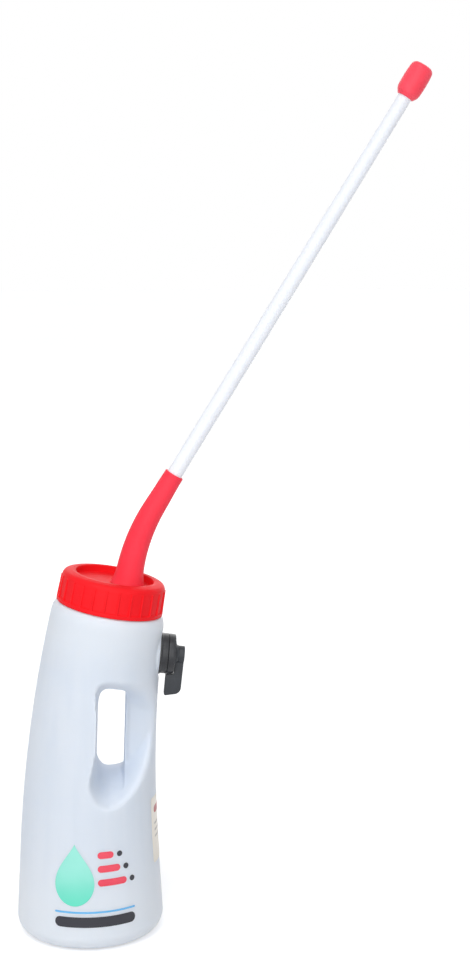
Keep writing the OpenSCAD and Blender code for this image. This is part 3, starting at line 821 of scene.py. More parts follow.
@dataclass(frozen=True)
class Bottle:
    """Blown bottle with its hand hole, valve boss and threaded neck."""

    columns: int = 248
    base_fillet: float = 14.5
    shoulder_in: float = 5.2
    shoulder_up: float = 13.0
    shoulder_top: float = 289.2
    wall: float = 2.4
    neck_r: float = 40.0
    neck_h: float = 24.2
    thread_low: float = 3.8
    thread_root: float = 0.4
    thread_crest: float = 1.6
    drawn_span: Station = (80.0, 275.0)
    crossed_span: Station = (100.0, 270.0)
    slide_in: Station = (85.0, 122.0)
    slide_out: Station = (278.0, 242.0)
    boss_r: float = 18.6
    boss_edge: float = 22.0
    port_r: float = 10.9
    boss_depth: float = 14.0
    rim_round: float = 1.8
    smooth_rounds: int = 24
    smooth_reach: int = 6
    tunnel_cuts: int = 11
    grip: Grip = Grip()

    def profile(self) -> list[Station]:
        """Station and radius of every ring, from the pushed-up base to the neck's rim.

        Returns:
            The rings in order.
        """
        low, high = self.base_fillet, self.shoulder_top - self.shoulder_up
        quarter = [math.radians(10 * k) for k in range(10)]
        rings = [(2.4, 8.0), (2.2, 20.0), (1.8, 30.0), (1.2, 38.0), (0.5, 43.0), (0.1, 46.0)]
        foot = LINE.radius(low)
        rings += [(low * (1.0 - math.cos(a)), foot - low * (1.0 - math.sin(a))) for a in quarter]
        for first, last, step in ((low, 112, 6.8), (112, 122, 2.5), (122, 146, 1.2), (146, 214, 2.7),
                                  (214, 242, 1.2), (242, high, 2.4)):
            count = round((last - first) / step)
            stations = [first + (last - first) * (k + 1) / count for k in range(count)]
            rings += [(s, LINE.radius(s)) for s in stations]
        for a in quarter[1:]:
            inset = self.shoulder_in * (1.0 - math.cos(a))
            rings.append((high + self.shoulder_up * math.sin(a), LINE.radius(high) - inset))
        top = LINE.length + self.neck_h
        neck = [(0.1, 1.6), (0.4, 0.6), (1.0, 0.1), (1.8, 0.0), (8.0, 0.0), (15.0, 0.0)]
        rings += [(self.shoulder_top + up, self.neck_r + out) for up, out in neck]
        return rings + [(top - 0.8, self.neck_r), (top - 0.25, self.neck_r - 0.25), (top, self.neck_r - 0.8)]

    def draw_in(self, ring: list[BMVert], s: float) -> None:
        """Slides a ring's columns along the hand hole and draws the skin in towards the grip.

        Args:
            ring: the ring's vertices.
            s: its station.
        """
        grip, place = self.grip, LINE.frame(s)
        back, radius = place.inverted(), LINE.radius(s)
        middle = LINE.frame(grip.z).translation.x
        reach = ease(*self.slide_in, s) * ease(*self.slide_out, s)
        for v in ring:
            u, side = (back @ v.co).x, math.copysign(1.0, v.co.y)
            share = max(0.0, 1.0 - (u / radius) ** 2)
            shift = math.tan(grip.lean) * (v.co.z - grip.z) - (place.translation.x - middle)
            u = clamp(u + shift * reach * share * share, -radius, radius)
            x, _, z = place @ Vector((u, 0.0, 0.0))
            v.co = (x, side * grip.skin_depth(x, z) if abs(v.co.y) > 1e-4 else 0.0, z)

    def open_side(
        self, bm: BMesh, rings: list[list[BMVert]], columns: list[int], side: float,
    ) -> list[BMVert]:
        """Opens the hand hole on one side of the body.

        Args:
            bm: the bottle's mesh.
            rings: the rings that the hole crosses, from below.
            columns: numbers of that side's vertices in each ring, from left to right.
            side: -1 for the front, 1 for the back.

        Returns:
            The vertices of the hole's rim.
        """
        grip = self.grip
        centre = columns[len(columns) // 2]
        middle = rings[nearest([ring[centre].co.z for ring in rings], grip.z)]
        places = [middle[i].co.x for i in columns]
        first = nearest(places, grip.x - grip.half_w)
        last = nearest(places, grip.x + grip.half_w + grip.flare_right)
        heights = [ring[columns[(first + last) // 2]].co.z for ring in rings]
        low = nearest(heights, grip.z - grip.half_h - grip.flare_low)
        high = nearest(heights, grip.z + grip.half_h + grip.flare_high)

        def block(more: int) -> set[BMVert]:
            """Vertices of the hole's rows and columns, and of some more of them on every side."""
            rows, across = range(low - more, high + 1 + more), range(first - more, last + 1 + more)
            return {rings[k][columns[i]] for k in rows for i in across}

        near, inner = block(self.smooth_reach), block(-1)
        rim = block(0) - inner
        gone = {f for v in inner for f in v.link_faces}
        bmesh.ops.delete(bm, geom=list(gone), context="FACES")
        for v in rim:
            v.co.x, v.co.z = grip.outline(v.co.x, v.co.z, 1.0)
        near = [v for v in near if v.is_valid and v not in rim]
        for _ in range(self.smooth_rounds):
            bmesh.ops.smooth_vert(
                bm, verts=near, factor=0.5, use_axis_x=True, use_axis_y=False, use_axis_z=True,
            )
        for v in (*near, *rim):
            v.co.y = side * grip.skin_depth(v.co.x, v.co.z)
        return list(rim)

    def line_hole(self, bm: BMesh, front: list[BMVert], back: list[BMVert]) -> None:
        """Joins the two rims by a waisted tunnel with softened edges.

        Args:
            bm: the bottle's mesh.
            front: the front rim.
            back: the back rim.
        """
        grip = self.grip
        rims = [e for rim in (front, back) for e in edges_of(rim) if e.is_boundary]
        bmesh.ops.bridge_loops(bm, edges=rims)
        ahead, behind = set(front), set(back)
        cross = [e for v in front for e in v.link_edges if e.other_vert(v) in behind]
        cut = bmesh.ops.subdivide_edges(bm, edges=cross, cuts=self.tunnel_cuts, use_grid_fill=True)
        for v in set(verts_of(cut["geom_inner"])) - ahead - behind:
            share = v.co.y / grip.skin_depth(v.co.x, v.co.z)
            v.co.x, v.co.z = grip.outline(v.co.x, v.co.z, share * share)
        soften(bm, rims, self.rim_round, 4)

    def from_valve(self, point: Vector) -> float:
        """Distance from the valve's axis of a point near the boss; any other point is infinitely far."""
        at = TO_PAD @ point
        return at.to_2d().length if at.z > -self.boss_depth else math.inf

    def raise_boss(self, bm: BMesh) -> None:
        """Raises the flat boss that carries the air valve, and opens its port.

        Args:
            bm: the bottle's mesh.
        """
        for reach in (self.boss_edge + 5.0, self.boss_edge + 1.5):
            near = [e for e in bm.edges if all(self.from_valve(v.co) < reach for v in e.verts)]
            bmesh.ops.subdivide_edges(bm, edges=near, cuts=1, use_grid_fill=True)
        for v in bm.verts:
            if (out := self.from_valve(v.co)) < self.boss_edge:
                at = TO_PAD @ v.co
                at.z -= at.z * ease(self.boss_edge, self.boss_r, out)
                v.co = PAD @ at
        port = [f for f in bm.faces if self.from_valve(f.calc_center_median()) < self.port_r]
        bmesh.ops.delete(bm, geom=port, context="FACES")
        for v in {v for e in bm.edges if e.is_boundary for v in e.verts}:
            if self.from_valve(v.co) < self.boss_r:
                at = TO_PAD @ v.co
                flat = at.to_2d().normalized() * self.port_r
                v.co = PAD @ Vector((flat.x, flat.y, at.z))

    def build(self) -> None:
        """Models and dresses the bottle."""
        bm = bmesh.new()
        rows = self.profile()
        rings = carry(bm, circle(bm, self.columns), [swell(LINE.frame(s), r) for s, r in rows])
        bm.faces.new(rings[0])
        crossed = []
        for (s, _), ring in zip(rows, rings):
            if self.drawn_span[0] < s < self.drawn_span[1]:
                self.draw_in(ring, s)
            if self.crossed_span[0] < s < self.crossed_span[1]:
                crossed.append(ring)
        sides: dict[float, list[int]] = {}
        for side in (-1.0, 1.0):
            columns = [i for i, v in enumerate(crossed[0]) if v.co.y * side > 1e-3]
            sides[side] = sorted(columns, key=lambda i: crossed[0][i].co.x)
        front, behind = (self.open_side(bm, crossed, columns, side) for side, columns in sides.items())
        self.line_hole(bm, front, behind)
        self.raise_boss(bm)
        bmesh.ops.recalc_face_normals(bm, faces=bm.faces)
        bmesh.ops.solidify(bm, geom=bm.faces[:], thickness=self.wall)
        helix(bm, self.neck_r - self.thread_root, self.neck_r + self.thread_crest, self.thread_low, NECK)
        finish_piece(
            "bottle_shell", bm, Body.BOTTLE, [BLOWN_WHITE], ("bottle",), sharp=48.0,
        )


@dataclass(frozen=True)
class ScrewCap:
    """Ribbed screw cap with a sunk top, through which the spout passes."""

    sides: int = 130
    gap: float = 1.5
    body_r: float = 44.8
    bead_r: float = 46.0
    bead_h: float = 3.4
    bore_r: float = 42.2
    top: float = 29.0
    edge_r: float = 5.0
    recess_r: float = 33.8
    recess_floor_r: float = 32.8
    lip_r: float = 1.0
    ridge_w: float = 3.4
    land_fall: float = 1.6
    roof_high: float = ROOF_HIGH
    roof_low: float = 20.5
    rim_low: float = 26.2
    plug_r: float = 36.2
    thread_low: float = 6.8
    thread_root: float = 0.4
    thread_crest: float = 1.5
    ribs: int = 26
    rib_w: float = 1.7
    rib_top: float = 23.6
    rib_draft: float = 0.8
    rib_round: float = 0.75
    hole_r: float = 11.05
    hole_x: float = SPOUT_X

    def outline(self) -> list[Station]:
        """Radius and height round the cap's wall, from the recess floor outside and back to the plug."""
        bead = self.gap + self.bead_h
        return round_corners(
            [
                (self.recess_floor_r, self.roof_high, 0.0), (self.recess_floor_r + 0.9, self.roof_high, 0.6),
                (self.recess_r, self.top, self.lip_r), (self.recess_r + self.ridge_w, self.top, 0.6),
                (self.body_r - 0.4, self.top - self.land_fall, self.edge_r),
                (self.body_r, bead + 0.5, 0.3), (self.bead_r, bead, 0.4), (self.bead_r, self.gap, 0.6),
                (self.bore_r, self.gap, 0.3), (self.bore_r, self.rim_low, 0.3),
                (self.plug_r, self.rim_low, 0.3), (self.plug_r - 1.0, self.roof_low, 0.4),
                (self.plug_r - 2.0, self.roof_low, 0.0),
            ]
        )

    @staticmethod
    def on_circle(at: Vector, height: float, radius: float) -> bool:
        """Whether a point lies on a level circle about the cap's axis."""
        return abs(at.z - height) < 0.01 and abs(at.to_2d().length - radius) < 0.05

    def add_roof(self, bm: BMesh) -> None:
        """Fills the sunk top round the spout's hole.

        Args:
            bm: the cap's mesh, still about its own axis.
        """
        edges: list[list[BMEdge]] = []
        for height, radius in ((self.roof_high, self.recess_floor_r), (self.roof_low, self.plug_r - 2.0)):
            made = bmesh.ops.create_circle(
                bm, cap_ends=False, segments=self.sides, radius=self.hole_r,
                matrix=Matrix.Translation((self.hole_x, 0.0, height)),
            )["verts"]
            edges.append(edges_of(made))
            wall = [
                e for e in bm.edges
                if e.is_boundary and all(self.on_circle(v.co, height, radius) for v in e.verts)
            ]
            bmesh.ops.bridge_loops(bm, edges=edges[-1] + wall)
        bmesh.ops.bridge_loops(bm, edges=edges[0] + edges[1])

    def add_ribs(self, bm: BMesh) -> None:
        """Sets the slim grip ribs round the cap.

        Args:
            bm: the cap's mesh, still about its own axis.
        """
        low, high = self.gap + self.bead_h - 0.6, self.rib_top
        depth = self.bead_r - self.body_r + 0.5
        at = Matrix.Translation((self.bead_r - 0.5 * depth, 0.0, 0.5 * (low + high)))
        size = Matrix.Diagonal((depth, self.rib_w, high - low, 1.0))
        rib = bmesh.ops.create_cube(bm, size=1.0, matrix=at @ size)["verts"]
        for v in rib:
            v.co.x -= self.rib_draft if v.co.x > self.body_r and v.co.z > low + 1.0 else 0.0
        outer = [
            e for e in edges_of(rib)
            if sum(v.co.x > self.body_r for v in e.verts) == 2 and max(v.co.z for v in e.verts) > low + 1.0
        ]
        rounded = soften(bm, outer, self.rib_round, 4)
        kept = {v for v in rib if v.is_valid} | set(rounded)
        faces = {f for v in kept for f in v.link_faces}
        geom = list({v for f in faces for v in f.verts} | {e for f in faces for e in f.edges} | faces)
        bmesh.ops.spin(
            bm, geom=geom, cent=(0, 0, 0), axis=(0, 0, 1), dvec=(0, 0, 0),
            angle=FULL_TURN * (self.ribs - 1) / self.ribs, steps=self.ribs - 1, use_duplicate=True,
            use_merge=False, use_normal_flip=False,
        )

    def build(self) -> None:
        """Models and dresses the cap."""
        bm = bmesh.new()
        turn(bm, self.outline(), self.sides, Matrix.Identity(4))
        self.add_roof(bm)
        self.add_ribs(bm)
        root, crest = self.bore_r + self.thread_root, self.bore_r - self.thread_crest
        helix(bm, root, crest, self.thread_low, Matrix.Identity(4))
        bmesh.ops.transform(bm, matrix=NECK, verts=bm.verts)
        finish_piece("cap_shell", bm, Body.CAP, [CAP_RED], ("screw_cap",))


@dataclass(frozen=True)
class Spout:
    """Soft elbow spout, held in the cap's roof and holding the probe."""

    sides: int = 56
    rise: float = 12.0
    bend_r: float = 160.0
    bend: float = math.radians(21.0)
    socket: float = 34.0
    root_r: float = 12.1
    end_r: float = 8.3
    foot_r: float = 15.0
    flare: float = 5.5
    neck_r: float = 11.0
    flange_r: float = 16.0
    flange_t: float = 2.5
    roof_t: float = 2.5
    bore_r: float = 5.8
    mouth_r: float = 6.1
    socket_r: float = 6.65
    rings: int = 44

    @property
    def length(self) -> float:
        """Length of the spout's path above the roof."""
        return self.rise + self.bend_r * self.bend + self.socket

    def frame(self, p: float) -> Matrix:
        """Place and lean of the spout at length p along its path."""
        return ROOF @ bent_path(self.rise, self.bend_r, self.bend_r * self.bend, p)

    def radius(self, p: float) -> float:
        """Outer radius at length p."""
        taper = (self.end_r - self.root_r) * p / self.length
        return self.root_r + taper + (self.foot_r - self.root_r) * math.exp(-p / self.flare)

    def stations(self) -> list[Station]:
        """Length and radius of every ring, up the outside and down the bore.

        Returns:
            The rings in order.
        """
        under, end = -self.roof_t - self.flange_t, self.length
        rows = [(under, self.mouth_r), (under, self.flange_r - 0.5), (under + 0.5, self.flange_r)]
        rows += [(-self.roof_t - 0.5, self.flange_r), (-self.roof_t - 0.05, self.flange_r - 0.5)]
        rows += [(-self.roof_t - 0.05, self.neck_r), (0.06, self.neck_r)]
        rows += [(0.06, self.foot_r - 0.5), (0.35, self.foot_r - 0.1)]
        for k in range(self.rings + 1):
            p = 0.7 + (end - 2.6) * (k / self.rings) ** 1.5
            rows.append((p, self.radius(p)))
        rows += [(end - 1.5, self.end_r + 0.12), (end - 0.6, self.end_r + 0.1)]
        rows += [(end - 0.15, self.end_r - 0.2)]
        rows += [(end, self.end_r - 0.7), (end, self.socket_r + 0.25), (end - 0.3, self.socket_r)]
        rows += [(end - self.socket * k / 3, self.socket_r) for k in (1, 2, 3)]
        rows += [(end - self.socket, self.bore_r)]
        rows += [((end - self.socket) * (1.0 - k / 12), self.bore_r) for k in range(1, 12)]
        return rows + [(0.0, self.mouth_r)]

    def build(self) -> None:
        """Models and dresses the spout."""
        bm = bmesh.new()
        stations = [swell(self.frame(p), r) for p, r in self.stations()]
        rings = carry(bm, circle(bm, self.sides), stations)
        pairs = loop(rings[0]) + loop(rings[-1])
        bmesh.ops.bridge_loops(bm, edges=[bm.edges.get(pair) for pair in pairs])
        finish_piece("spout_elbow", bm, Body.SPOUT, [SPOUT_RED], ("spout",))


@dataclass(frozen=True)
class Probe:
    """Long white tube with a soft bulb on its end."""

    sides: int = 56
    tube_r: float = 6.6
    tip_r: float = 6.0
    bore_r: float = 4.4
    low: float = 0.3
    high: float = 402.5
    taper: float = 180.0
    seat: float = 20.0
    bulb_r: float = 10.5
    bulb_end_r: float = 9.7
    bulb_len: float = 30.0

    def axis(self, spout: Spout) -> Matrix:
        """Place of the probe's axis, from the foot of the spout's socket."""
        return spout.frame(spout.length - spout.socket)

    def tube(self, spout: Spout) -> None:
        """Models and dresses the tube.

        Args:
            spout: the spout that holds it.
        """
        bm = bmesh.new()
        end = self.high + self.seat
        outline = round_corners(
            [
                (self.bore_r, self.low + 1.0, 0.0), (self.bore_r, self.low, 0.4),
                (self.tube_r, self.low, 0.5), (self.tube_r, self.high - self.taper, 0.0),
                (self.tip_r, self.high, 0.0), (self.tip_r, end, 0.3),
                (self.bore_r, end, 0.3), (self.bore_r, end - 1.0, 0.0),
            ],
            3,
        )
        axis = self.axis(spout)
        turn(bm, outline, self.sides, axis, closed=True)
        for height in range(20, 400, 20):
            bmesh.ops.bisect_plane(
                bm, geom=[*bm.verts, *bm.edges, *bm.faces],
                plane_co=axis @ Vector((0.0, 0.0, float(height))), plane_no=axis.col[2].to_3d(),
            )
        finish_piece("probe_pipe", bm, Body.PROBE, [TUBE_WHITE], ("probe_tube",))

    def bulb(self, spout: Spout) -> None:
        """Models and dresses the bulb.

        Args:
            spout: the spout that holds the probe.
        """
        bm = bmesh.new()
        mouth, length = self.tip_r + 0.05, self.bulb_len
        side = [
            (self.bulb_end_r + (self.bulb_r - self.bulb_end_r) * math.sin(math.pi * t), length * t, 0.0)
            for t in (0.2, 0.28, 0.36, 0.44, 0.52, 0.6, 0.68, 0.76)
        ]
        outline = round_corners(
            [
                (mouth, 1.0, 0.0), (mouth, 0.0, 0.2), (mouth + 1.1, 0.0, 0.5),
                (self.bulb_end_r - 0.2, 3.4, 3.2), *side, (self.bulb_end_r - 0.3, length, 4.6),
                (self.bore_r, length, 0.7), (self.bore_r, self.seat, 0.0), (mouth, self.seat, 0.0),
            ],
            6,
        )
        end = self.axis(spout) @ Matrix.Translation((0.0, 0.0, self.high))
        turn(bm, outline, self.sides, end, closed=True)
        finish_piece("probe_end", bm, Body.PROBE, [BULB_RED], ("probe_bulb",))


@dataclass(frozen=True)
class AirValve:
    """Rotary air valve on the boss: flange, bonnet with vents, and flow lever."""

    sides: int = 96
    outer_r: float = 17.5
    foot_lip: float = 0.6
    foot_h: float = 1.4
    flange_t: float = 7.1
    bonnet_t: float = 6.2
    barrel_r: float = 10.6
    barrel_bore_r: float = 8.6
    barrel_len: float = 16.5
    rotor_low: float = 7.4
    rotor_t: float = 2.8
    cavity_r: float = 13.0
    spindle_r: float = 4.0
    vent_depth: float = 3.2
    hub_r: float = 7.5
    hub_low: float = 13.6
    hub_high: float = 21.7
    fin_low: float = 6.9
    fin_shoulder: float = 18.3
    fin_reach: float = 37.0
    fin_root: float = 4.3
    fin_t: float = 7.0
    fin_round: float = 0.7
    air_r: float = 1.45
    barrel_web: float = 2.0
    bore_top: float = 4.0
    seal_r: float = 6.2
    seal_depth: float = 2.2
    lid_t: float = 2.8
    vent_half: float = 2.2
    vent_rise: float = 0.8
    hub_foot_r: float = 11.6
    head_r: float = 3.2
    head_seat: float = 19.9
    screw_r: float = 1.25
    spindle_top: float = 18.9

    def flange(self) -> None:
        """Models and dresses the flange with its barrel through the wall."""
        bm = bmesh.new()
        foot, web = self.outer_r + self.foot_lip, self.barrel_web - self.barrel_len
        outline = round_corners(
            [
                (0.0, self.flange_t, 0.0), (self.outer_r, self.flange_t, 0.5),
                (self.outer_r, self.foot_h + 0.7, 1.2), (foot, self.foot_h - 0.3, 0.5),
                (foot, 0.05, 0.2), (self.barrel_r, 0.05, 0.0),
                (self.barrel_r, -self.barrel_len, 0.6), (self.air_r, -self.barrel_len, 0.0),
                (self.air_r, web, 0.0), (self.barrel_bore_r, web, 0.5),
                (self.barrel_bore_r, self.bore_top, 0.5), (0.0, self.bore_top, 0.0),
            ],
            4,
        )
        turn(bm, outline, self.sides, PAD)
        finish_piece("valve_flange", bm, Body.BOTTLE, [VALVE_BLACK], ("valve_body",))

    def bonnet(self) -> None:
        """Models and dresses the bonnet with its vents."""
        bm = bmesh.new()
        top = self.flange_t + self.bonnet_t
        foot, bore = self.flange_t + 0.08, self.spindle_r + 0.05
        vent = self.rotor_low + self.vent_rise
        outline = round_corners(
            [
                (self.cavity_r, foot, 0.0), (self.outer_r - 0.7, foot, 0.2),
                (self.outer_r - 0.15, self.flange_t + 0.5, 0.3), (self.outer_r - 0.15, vent, 0.0),
                (self.outer_r - 0.3, vent + self.rotor_t, 0.0), (self.outer_r - 0.5, top, 1.2),
                (self.seal_r, top, 0.3), (self.seal_r, top - self.seal_depth, 0.0),
                (bore, top - self.seal_depth, 0.0), (bore, top - self.lid_t, 0.0),
                (self.cavity_r, top - self.lid_t, 0.0), (self.cavity_r, foot, 0.0),
            ],
            4,
        )
        turn(bm, outline, self.sides, Matrix.Identity(4))
        for angle in (math.radians(50.0), math.radians(90.0), math.radians(130.0)):
            spoke = Vector((math.cos(angle), math.sin(angle), 0.0))
            side = []
            for f in bm.faces:
                middle = f.calc_center_median()
                level = all(vent - 0.01 < v.co.z < vent + self.rotor_t + 0.01 for v in f.verts)
                outside = middle.to_2d().length > self.outer_r - 1.0 and middle.dot(spoke) > 0.0
                if level and outside and abs(middle.cross(spoke).z) < self.vent_half:
                    side.append(f)
            push(bm, side, -spoke * self.vent_depth)
            bmesh.ops.delete(bm, geom=side, context="FACES")
        bmesh.ops.transform(bm, matrix=PAD, verts=bm.verts)
        finish_piece("valve_cover", bm, Body.BOTTLE, [VALVE_BLACK], ("valve_bonnet",))

    def lever(self) -> None:
        """Models and dresses the flow lever: a hub on a hollow foot, and a flat fin."""
        bm = bmesh.new()
        low, groove = self.hub_low, self.hub_low + 2.7
        hub = round_corners(
            [
                (self.spindle_r, low, 0.0), (self.hub_foot_r, low, 0.2), (self.hub_foot_r, low + 0.3, 0.1),
                (self.hub_r + 0.1, low + 0.9, 2.4), (self.hub_r + 0.1, groove, 0.1),
                (self.hub_r - 0.4, groove + 0.1, 0.0), (self.hub_r - 0.4, groove + 0.5, 0.0),
                (self.hub_r, groove + 0.6, 0.1), (self.hub_r, self.hub_high, 0.9),
                (self.head_r, self.hub_high, 0.3), (self.head_r, self.head_seat, 0.0),
                (self.screw_r, self.head_seat, 0.0), (self.screw_r, self.spindle_top, 0.0),
                (self.spindle_r, self.spindle_top, 0.0), (self.spindle_r, low, 0.0),
            ],
            4,
        )
        turn(bm, hub, 64, Matrix.Identity(4))
        plate = round_corners(
            [
                (self.fin_root, low + 0.4, 0.0), (self.fin_shoulder - 0.5, low + 0.4, 0.2),
                (self.fin_shoulder - 0.4, self.fin_low, 1.4), (self.fin_reach, self.fin_low, 1.6),
                (self.fin_reach - 3.0, self.hub_high - 0.5, 6.0), (self.fin_root, self.hub_high - 0.1, 0.0),
            ],
            6,
        )
        half = 0.5 * self.fin_t
        face = bm.faces.new([bm.verts.new((down, -half, out)) for down, out in plate])
        push(bm, [face], Vector((0.0, self.fin_t, 0.0)))
        flat = [f for f in bm.faces if len(f.verts) == len(plate)]
        soften(bm, list({e for f in flat for e in f.edges}), self.fin_round, 3)
        bmesh.ops.transform(bm, matrix=PAD, verts=bm.verts)
        finish_piece("lever_grip", bm, Body.LEVER, [LEVER_BLACK], ("flow_lever",))


DROP_WAIST = 0.36
SHEET_CORNER = 3.0


class Shape(Enum):
    """Outlines of the printed motifs."""

    DROP = "drop"
    DOT = "dot"
    BAR = "bar"
    SHEET = "sheet"


@dataclass(frozen=True)
class Motif:
    """One flat printed shape, placed on the unrolled skin."""

    shape: Shape
    across: float
    up: float
    width: float
    height: float
    ink: int = 0
    low: float = 0.02
    high: float = 0.14

    def half_width(self, t: float) -> float:
        """Half of the width at a share t of the height.

        Args:
            t: share of the height, 0 at the lower end.

        Returns:
            The half width.
        """
        half, y = 0.5 * self.width, (t - 0.5) * self.height
        if self.shape is Shape.DOT:
            return half * math.sqrt(max(0.0, 1.0 - (2.0 * t - 1.0) ** 2))
        if self.shape is Shape.DROP:
            above = t - DROP_WAIST
            if above < 0.0:
                return half * math.sqrt(max(0.0, 1.0 - (above / DROP_WAIST) ** 2))
            return half * math.cos(0.5 * math.pi * above / (1.0 - DROP_WAIST)) ** 1.25
        corner = 0.5 * self.height if self.shape is Shape.BAR else SHEET_CORNER
        over = max(0.0, abs(y) - (0.5 * self.height - corner))
        return half - corner + math.sqrt(max(0.0, corner * corner - over * over))

    def add(self, bm: BMesh, station: float, angle: float) -> None:
        """Lays the motif on the body's skin.

        Args:
            bm: the print's mesh.
            station: station of the print's lower edge.
            angle: angle of its middle from +X.
        """
        columns = max(6, round(self.width / 2.0))
        rows = max(10, round(self.height / 1.6))
        grid = bmesh.ops.create_grid(bm, x_segments=columns, y_segments=rows, size=1.0)["verts"]
        mean = LINE.radius(station + self.up)
        for v in grid:
            t = 0.5 - 0.5 * math.cos(math.pi * clamp(0.5 + 0.5 * v.co.y, 0.0, 1.0))
            across = self.across + v.co.x * self.half_width(t)
            up = self.up + (t - 0.5) * self.height
            v.co = LINE.on_skin(station + up, angle + across / mean, self.low)
        bmesh.ops.remove_doubles(bm, verts=grid, dist=0.005)
        faces = list({f for v in grid if v.is_valid for f in v.link_faces})
        grown = verts_of(bmesh.ops.extrude_face_region(bm, geom=faces, use_keep_orig=True)["geom"])
        for v in grown:
            s, _ = LINE.locate(v.co.x, v.co.z)
            out = v.co - LINE.frame(s).translation
            v.co += out.normalized() * (self.high - self.low)
        for f in {*faces, *(f for v in grown for f in v.link_faces)}:
            f.material_index = self.ink


@dataclass(frozen=True)
class Print:
    """A group of printed motifs on one side of the bottle."""

    name: str
    node: str
    slot: Slot
    station: float
    angle: float
    inks: tuple[Finish, ...]
    motifs: tuple[Motif, ...]

    def build(self) -> None:
        """Models and dresses the print."""
        bm = bmesh.new()
        for motif in self.motifs:
            motif.add(bm, self.station, self.angle)
        finish_piece(self.name, bm, Body.BOTTLE, list(self.inks), (self.node,))


FRONT_PRINT = Print(
    "front_print", "front_label", Slot.FRONT, 20.0, math.radians(-85.0),
    (MINT_INK, RED_INK, CHARCOAL_INK, BLUE_INK),
    (
        Motif(Shape.DROP, -18.0, 49.0, 34.0, 54.0, 0),
        Motif(Shape.BAR, 9.0, 66.0, 14.0, 6.0, 1),
        Motif(Shape.BAR, 12.0, 54.0, 20.0, 6.0, 1),
        Motif(Shape.BAR, 15.0, 42.0, 26.0, 6.0, 1),
        Motif(Shape.DOT, 21.5, 66.0, 5.0, 5.0, 2),
        Motif(Shape.DOT, 27.5, 54.0, 5.0, 5.0, 2),
        Motif(Shape.DOT, 33.5, 42.0, 5.0, 5.0, 2),
        Motif(Shape.BAR, 0.0, 8.0, 72.0, 9.0, 2),
        Motif(Shape.BAR, 0.0, 16.6, 72.0, 1.6, 3),
    ),
)
SIDE_STICKER = Print(
    "side_sticker", "side_label", Slot.SIDE, 65.0, 0.0,
    (STICKER_CREAM, STICKER_RED, STICKER_GREY),
    (
        Motif(Shape.SHEET, 0.0, 30.0, 50.0, 60.0, 0, 0.05, 0.27),
        Motif(Shape.BAR, 0.0, 48.0, 38.0, 7.0, 1, 0.26, 0.31),
        Motif(Shape.BAR, -4.0, 35.0, 30.0, 2.0, 2, 0.26, 0.31),
        Motif(Shape.BAR, -1.0, 29.0, 36.0, 2.0, 2, 0.26, 0.31),
        Motif(Shape.BAR, -7.0, 23.0, 24.0, 2.0, 2, 0.26, 0.31),
        Motif(Shape.DOT, 12.0, 12.0, 9.0, 9.0, 1, 0.26, 0.31),
    ),
)


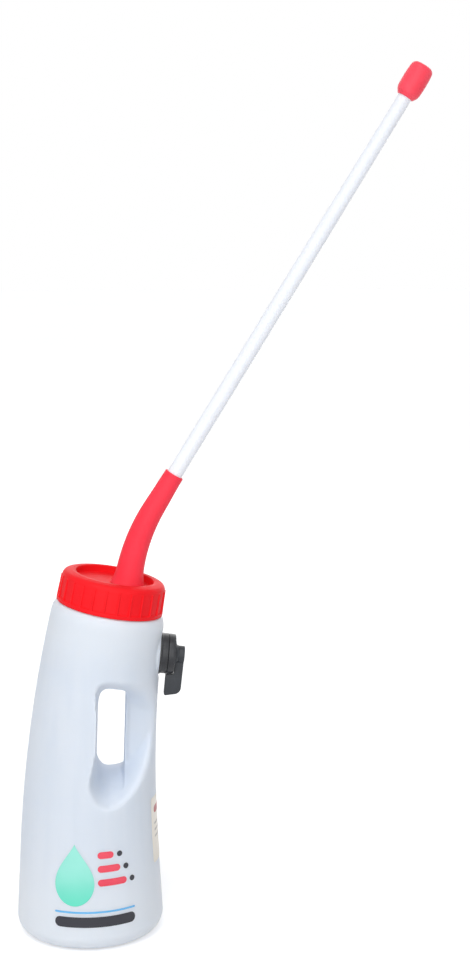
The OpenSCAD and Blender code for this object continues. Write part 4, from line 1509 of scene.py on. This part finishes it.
@dataclass(frozen=True)
class Studio:
    """Plain pale floor, soft light and the photograph's viewpoint."""

    eye: Corner = (0.0212, -1.54, 0.654)
    tilt: float = math.radians(80.24)
    turn: float = math.radians(-3.96)
    sensor: float = 36.0
    focal: float = 1836.0 / 979.0 * 36.0
    aim: Corner = (0.03, 0.0, 0.25)
    key_level: float = 0.95
    key_spread: float = math.radians(35.0)
    panel_size: float = 2.2
    front_watts: float = 26.0
    back_watts: float = 13.0
    ambient: float = 0.48
    floor_size: float = 9.0
    floor_sink: float = 0.0003
    floor_glow: float = 0.43

    def place_camera(self) -> None:
        """Sets up the camera."""
        lens = bpy.data.cameras.new("viewpoint")
        lens.sensor_fit, lens.sensor_width, lens.lens = "AUTO", self.sensor, self.focal
        lens.clip_start, lens.clip_end = 0.02, 60.0
        camera = bpy.data.objects.new("viewpoint", lens)
        camera.location, camera.rotation_euler = self.eye, (self.tilt, 0.0, self.turn)
        bpy.context.scene.collection.objects.link(camera)
        bpy.context.scene.camera = camera

    def add_lamp(self, light: bpy.types.Light, at: Corner) -> None:
        """Adds a lamp that faces the bottle.

        Args:
            light: the lamp's light.
            at: its place, in metres.
        """
        lamp = bpy.data.objects.new(light.name, light)
        lamp.location = at
        lamp.rotation_euler = (Vector(self.aim) - Vector(at)).to_track_quat("-Z", "Y").to_euler()
        bpy.context.scene.collection.objects.link(lamp)

    def light_object(self) -> None:
        """Sets a wide soft key above the front and soft panels before and behind the bottle."""
        key = bpy.data.lights.new("key", "SUN")
        key.energy, key.angle = self.key_level, self.key_spread
        self.add_lamp(key, (-0.25, -1.0, 2.3))
        for name, watts, at in (
            ("front_panel", self.front_watts, (-0.3, -2.0, 0.85)),
            ("back_panel", self.back_watts, (0.4, 2.0, 0.9)),
        ):
            panel = bpy.data.lights.new(name, "AREA")
            panel.shape, panel.size, panel.energy = "SQUARE", self.panel_size, watts
            self.add_lamp(panel, at)

    @staticmethod
    def seen(wiring: Wiring) -> Socket:
        """1 for rays that show the backdrop, and 0 for those that light the object.

        Args:
            wiring: the backdrop's wiring.

        Returns:
            The mask.
        """
        path = wiring.add("ShaderNodeLightPath")
        shown = wiring.math("MAXIMUM", path.outputs["Is Camera Ray"], path.outputs["Is Glossy Ray"])
        return wiring.math("MAXIMUM", shown, path.outputs["Is Transmission Ray"])

    def light_world(self) -> None:
        """White backdrop with plain soft light."""
        world = bpy.data.worlds.new("studio")
        wiring = Wiring.fresh(world)
        lit = wiring.add("ShaderNodeBackground", {"Color": (0.97, 0.98, 1.0, 1.0), "Strength": self.ambient})
        shown = wiring.add("ShaderNodeBackground", {"Color": PURE_WHITE, "Strength": 1.0})
        shaders = {0: self.seen(wiring), 1: lit.outputs[0], 2: shown.outputs[0]}
        mixed = wiring.add("ShaderNodeMixShader", shaders)
        wiring.add("ShaderNodeOutputWorld", {"Surface": mixed.outputs[0]})
        bpy.context.scene.world = world

    def lay_floor(self) -> None:
        """Pale floor that keeps the object's shadow."""
        bm = bmesh.new()
        below = Matrix.Translation((0.0, 0.0, -self.floor_sink))
        bmesh.ops.create_grid(bm, x_segments=8, y_segments=8, size=self.floor_size, matrix=below)
        mesh = bpy.data.meshes.new("floor")
        bm.to_mesh(mesh)
        bm.free()
        paint = bpy.data.materials.new("floor_paint")
        wiring = Wiring.fresh(paint)
        cloud = wiring.noise(wiring.add("ShaderNodeTexCoord").outputs["Object"], 3.0)
        tone = wiring.blend(cloud, (0.76, 0.76, 0.77, 1.0), (0.79, 0.79, 0.79, 1.0))
        matt = wiring.add("ShaderNodeBsdfDiffuse", {"Color": tone})
        level = wiring.math("MULTIPLY", self.seen(wiring), self.floor_glow)
        glow = wiring.add("ShaderNodeEmission", {"Color": PURE_WHITE, "Strength": level})
        both = wiring.add("ShaderNodeAddShader", {0: matt.outputs[0], 1: glow.outputs[0]})
        wiring.add("ShaderNodeOutputMaterial", {"Surface": both.outputs[0]})
        mesh.materials.append(paint)
        floor = bpy.data.objects.new("floor", mesh)
        bpy.context.scene.collection.objects.link(floor)

    def build(self) -> None:
        """Sets up the camera, lamps, world and floor."""
        self.place_camera()
        self.light_object()
        self.light_world()
        self.lay_floor()
        bpy.context.scene.view_settings.view_transform = "Standard"


def dress_inner_nodes() -> None:
    """Gives the CAD pieces inside the valve and under the cap their finishes."""
    finishes: dict[str, Finish] = {
        "cap_gasket": SEAL_WHITE, "valve_gasket": SEAL_WHITE, "check_disc": SEAL_WHITE,
        "valve_lock_nut": VALVE_BLACK, "port_seal": SEAL_BLACK, "spindle_o_ring": SEAL_BLACK,
        "flow_rotor": ROTOR_GREY, "lever_screw": SCREW_STEEL,
    }
    for node, finish in finishes.items():
        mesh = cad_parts[node].data
        mesh.materials.clear()
        mesh.materials.append(finish.material())
        LOG.info("%s wears %s", node, finish.name)


def main() -> None:
    """Builds and dresses the drencher."""
    logging.basicConfig(level=logging.INFO, format="%(message)s")
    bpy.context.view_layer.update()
    Studio().build()
    Bottle().build()
    ScrewCap().build()
    spout = Spout()
    spout.build()
    probe = Probe()
    probe.tube(spout)
    probe.bulb(spout)
    valve = AirValve()
    valve.flange()
    valve.bonnet()
    valve.lever()
    FRONT_PRINT.build()
    SIDE_STICKER.build()
    dress_inner_nodes()


if __name__ == "__main__":
    main()
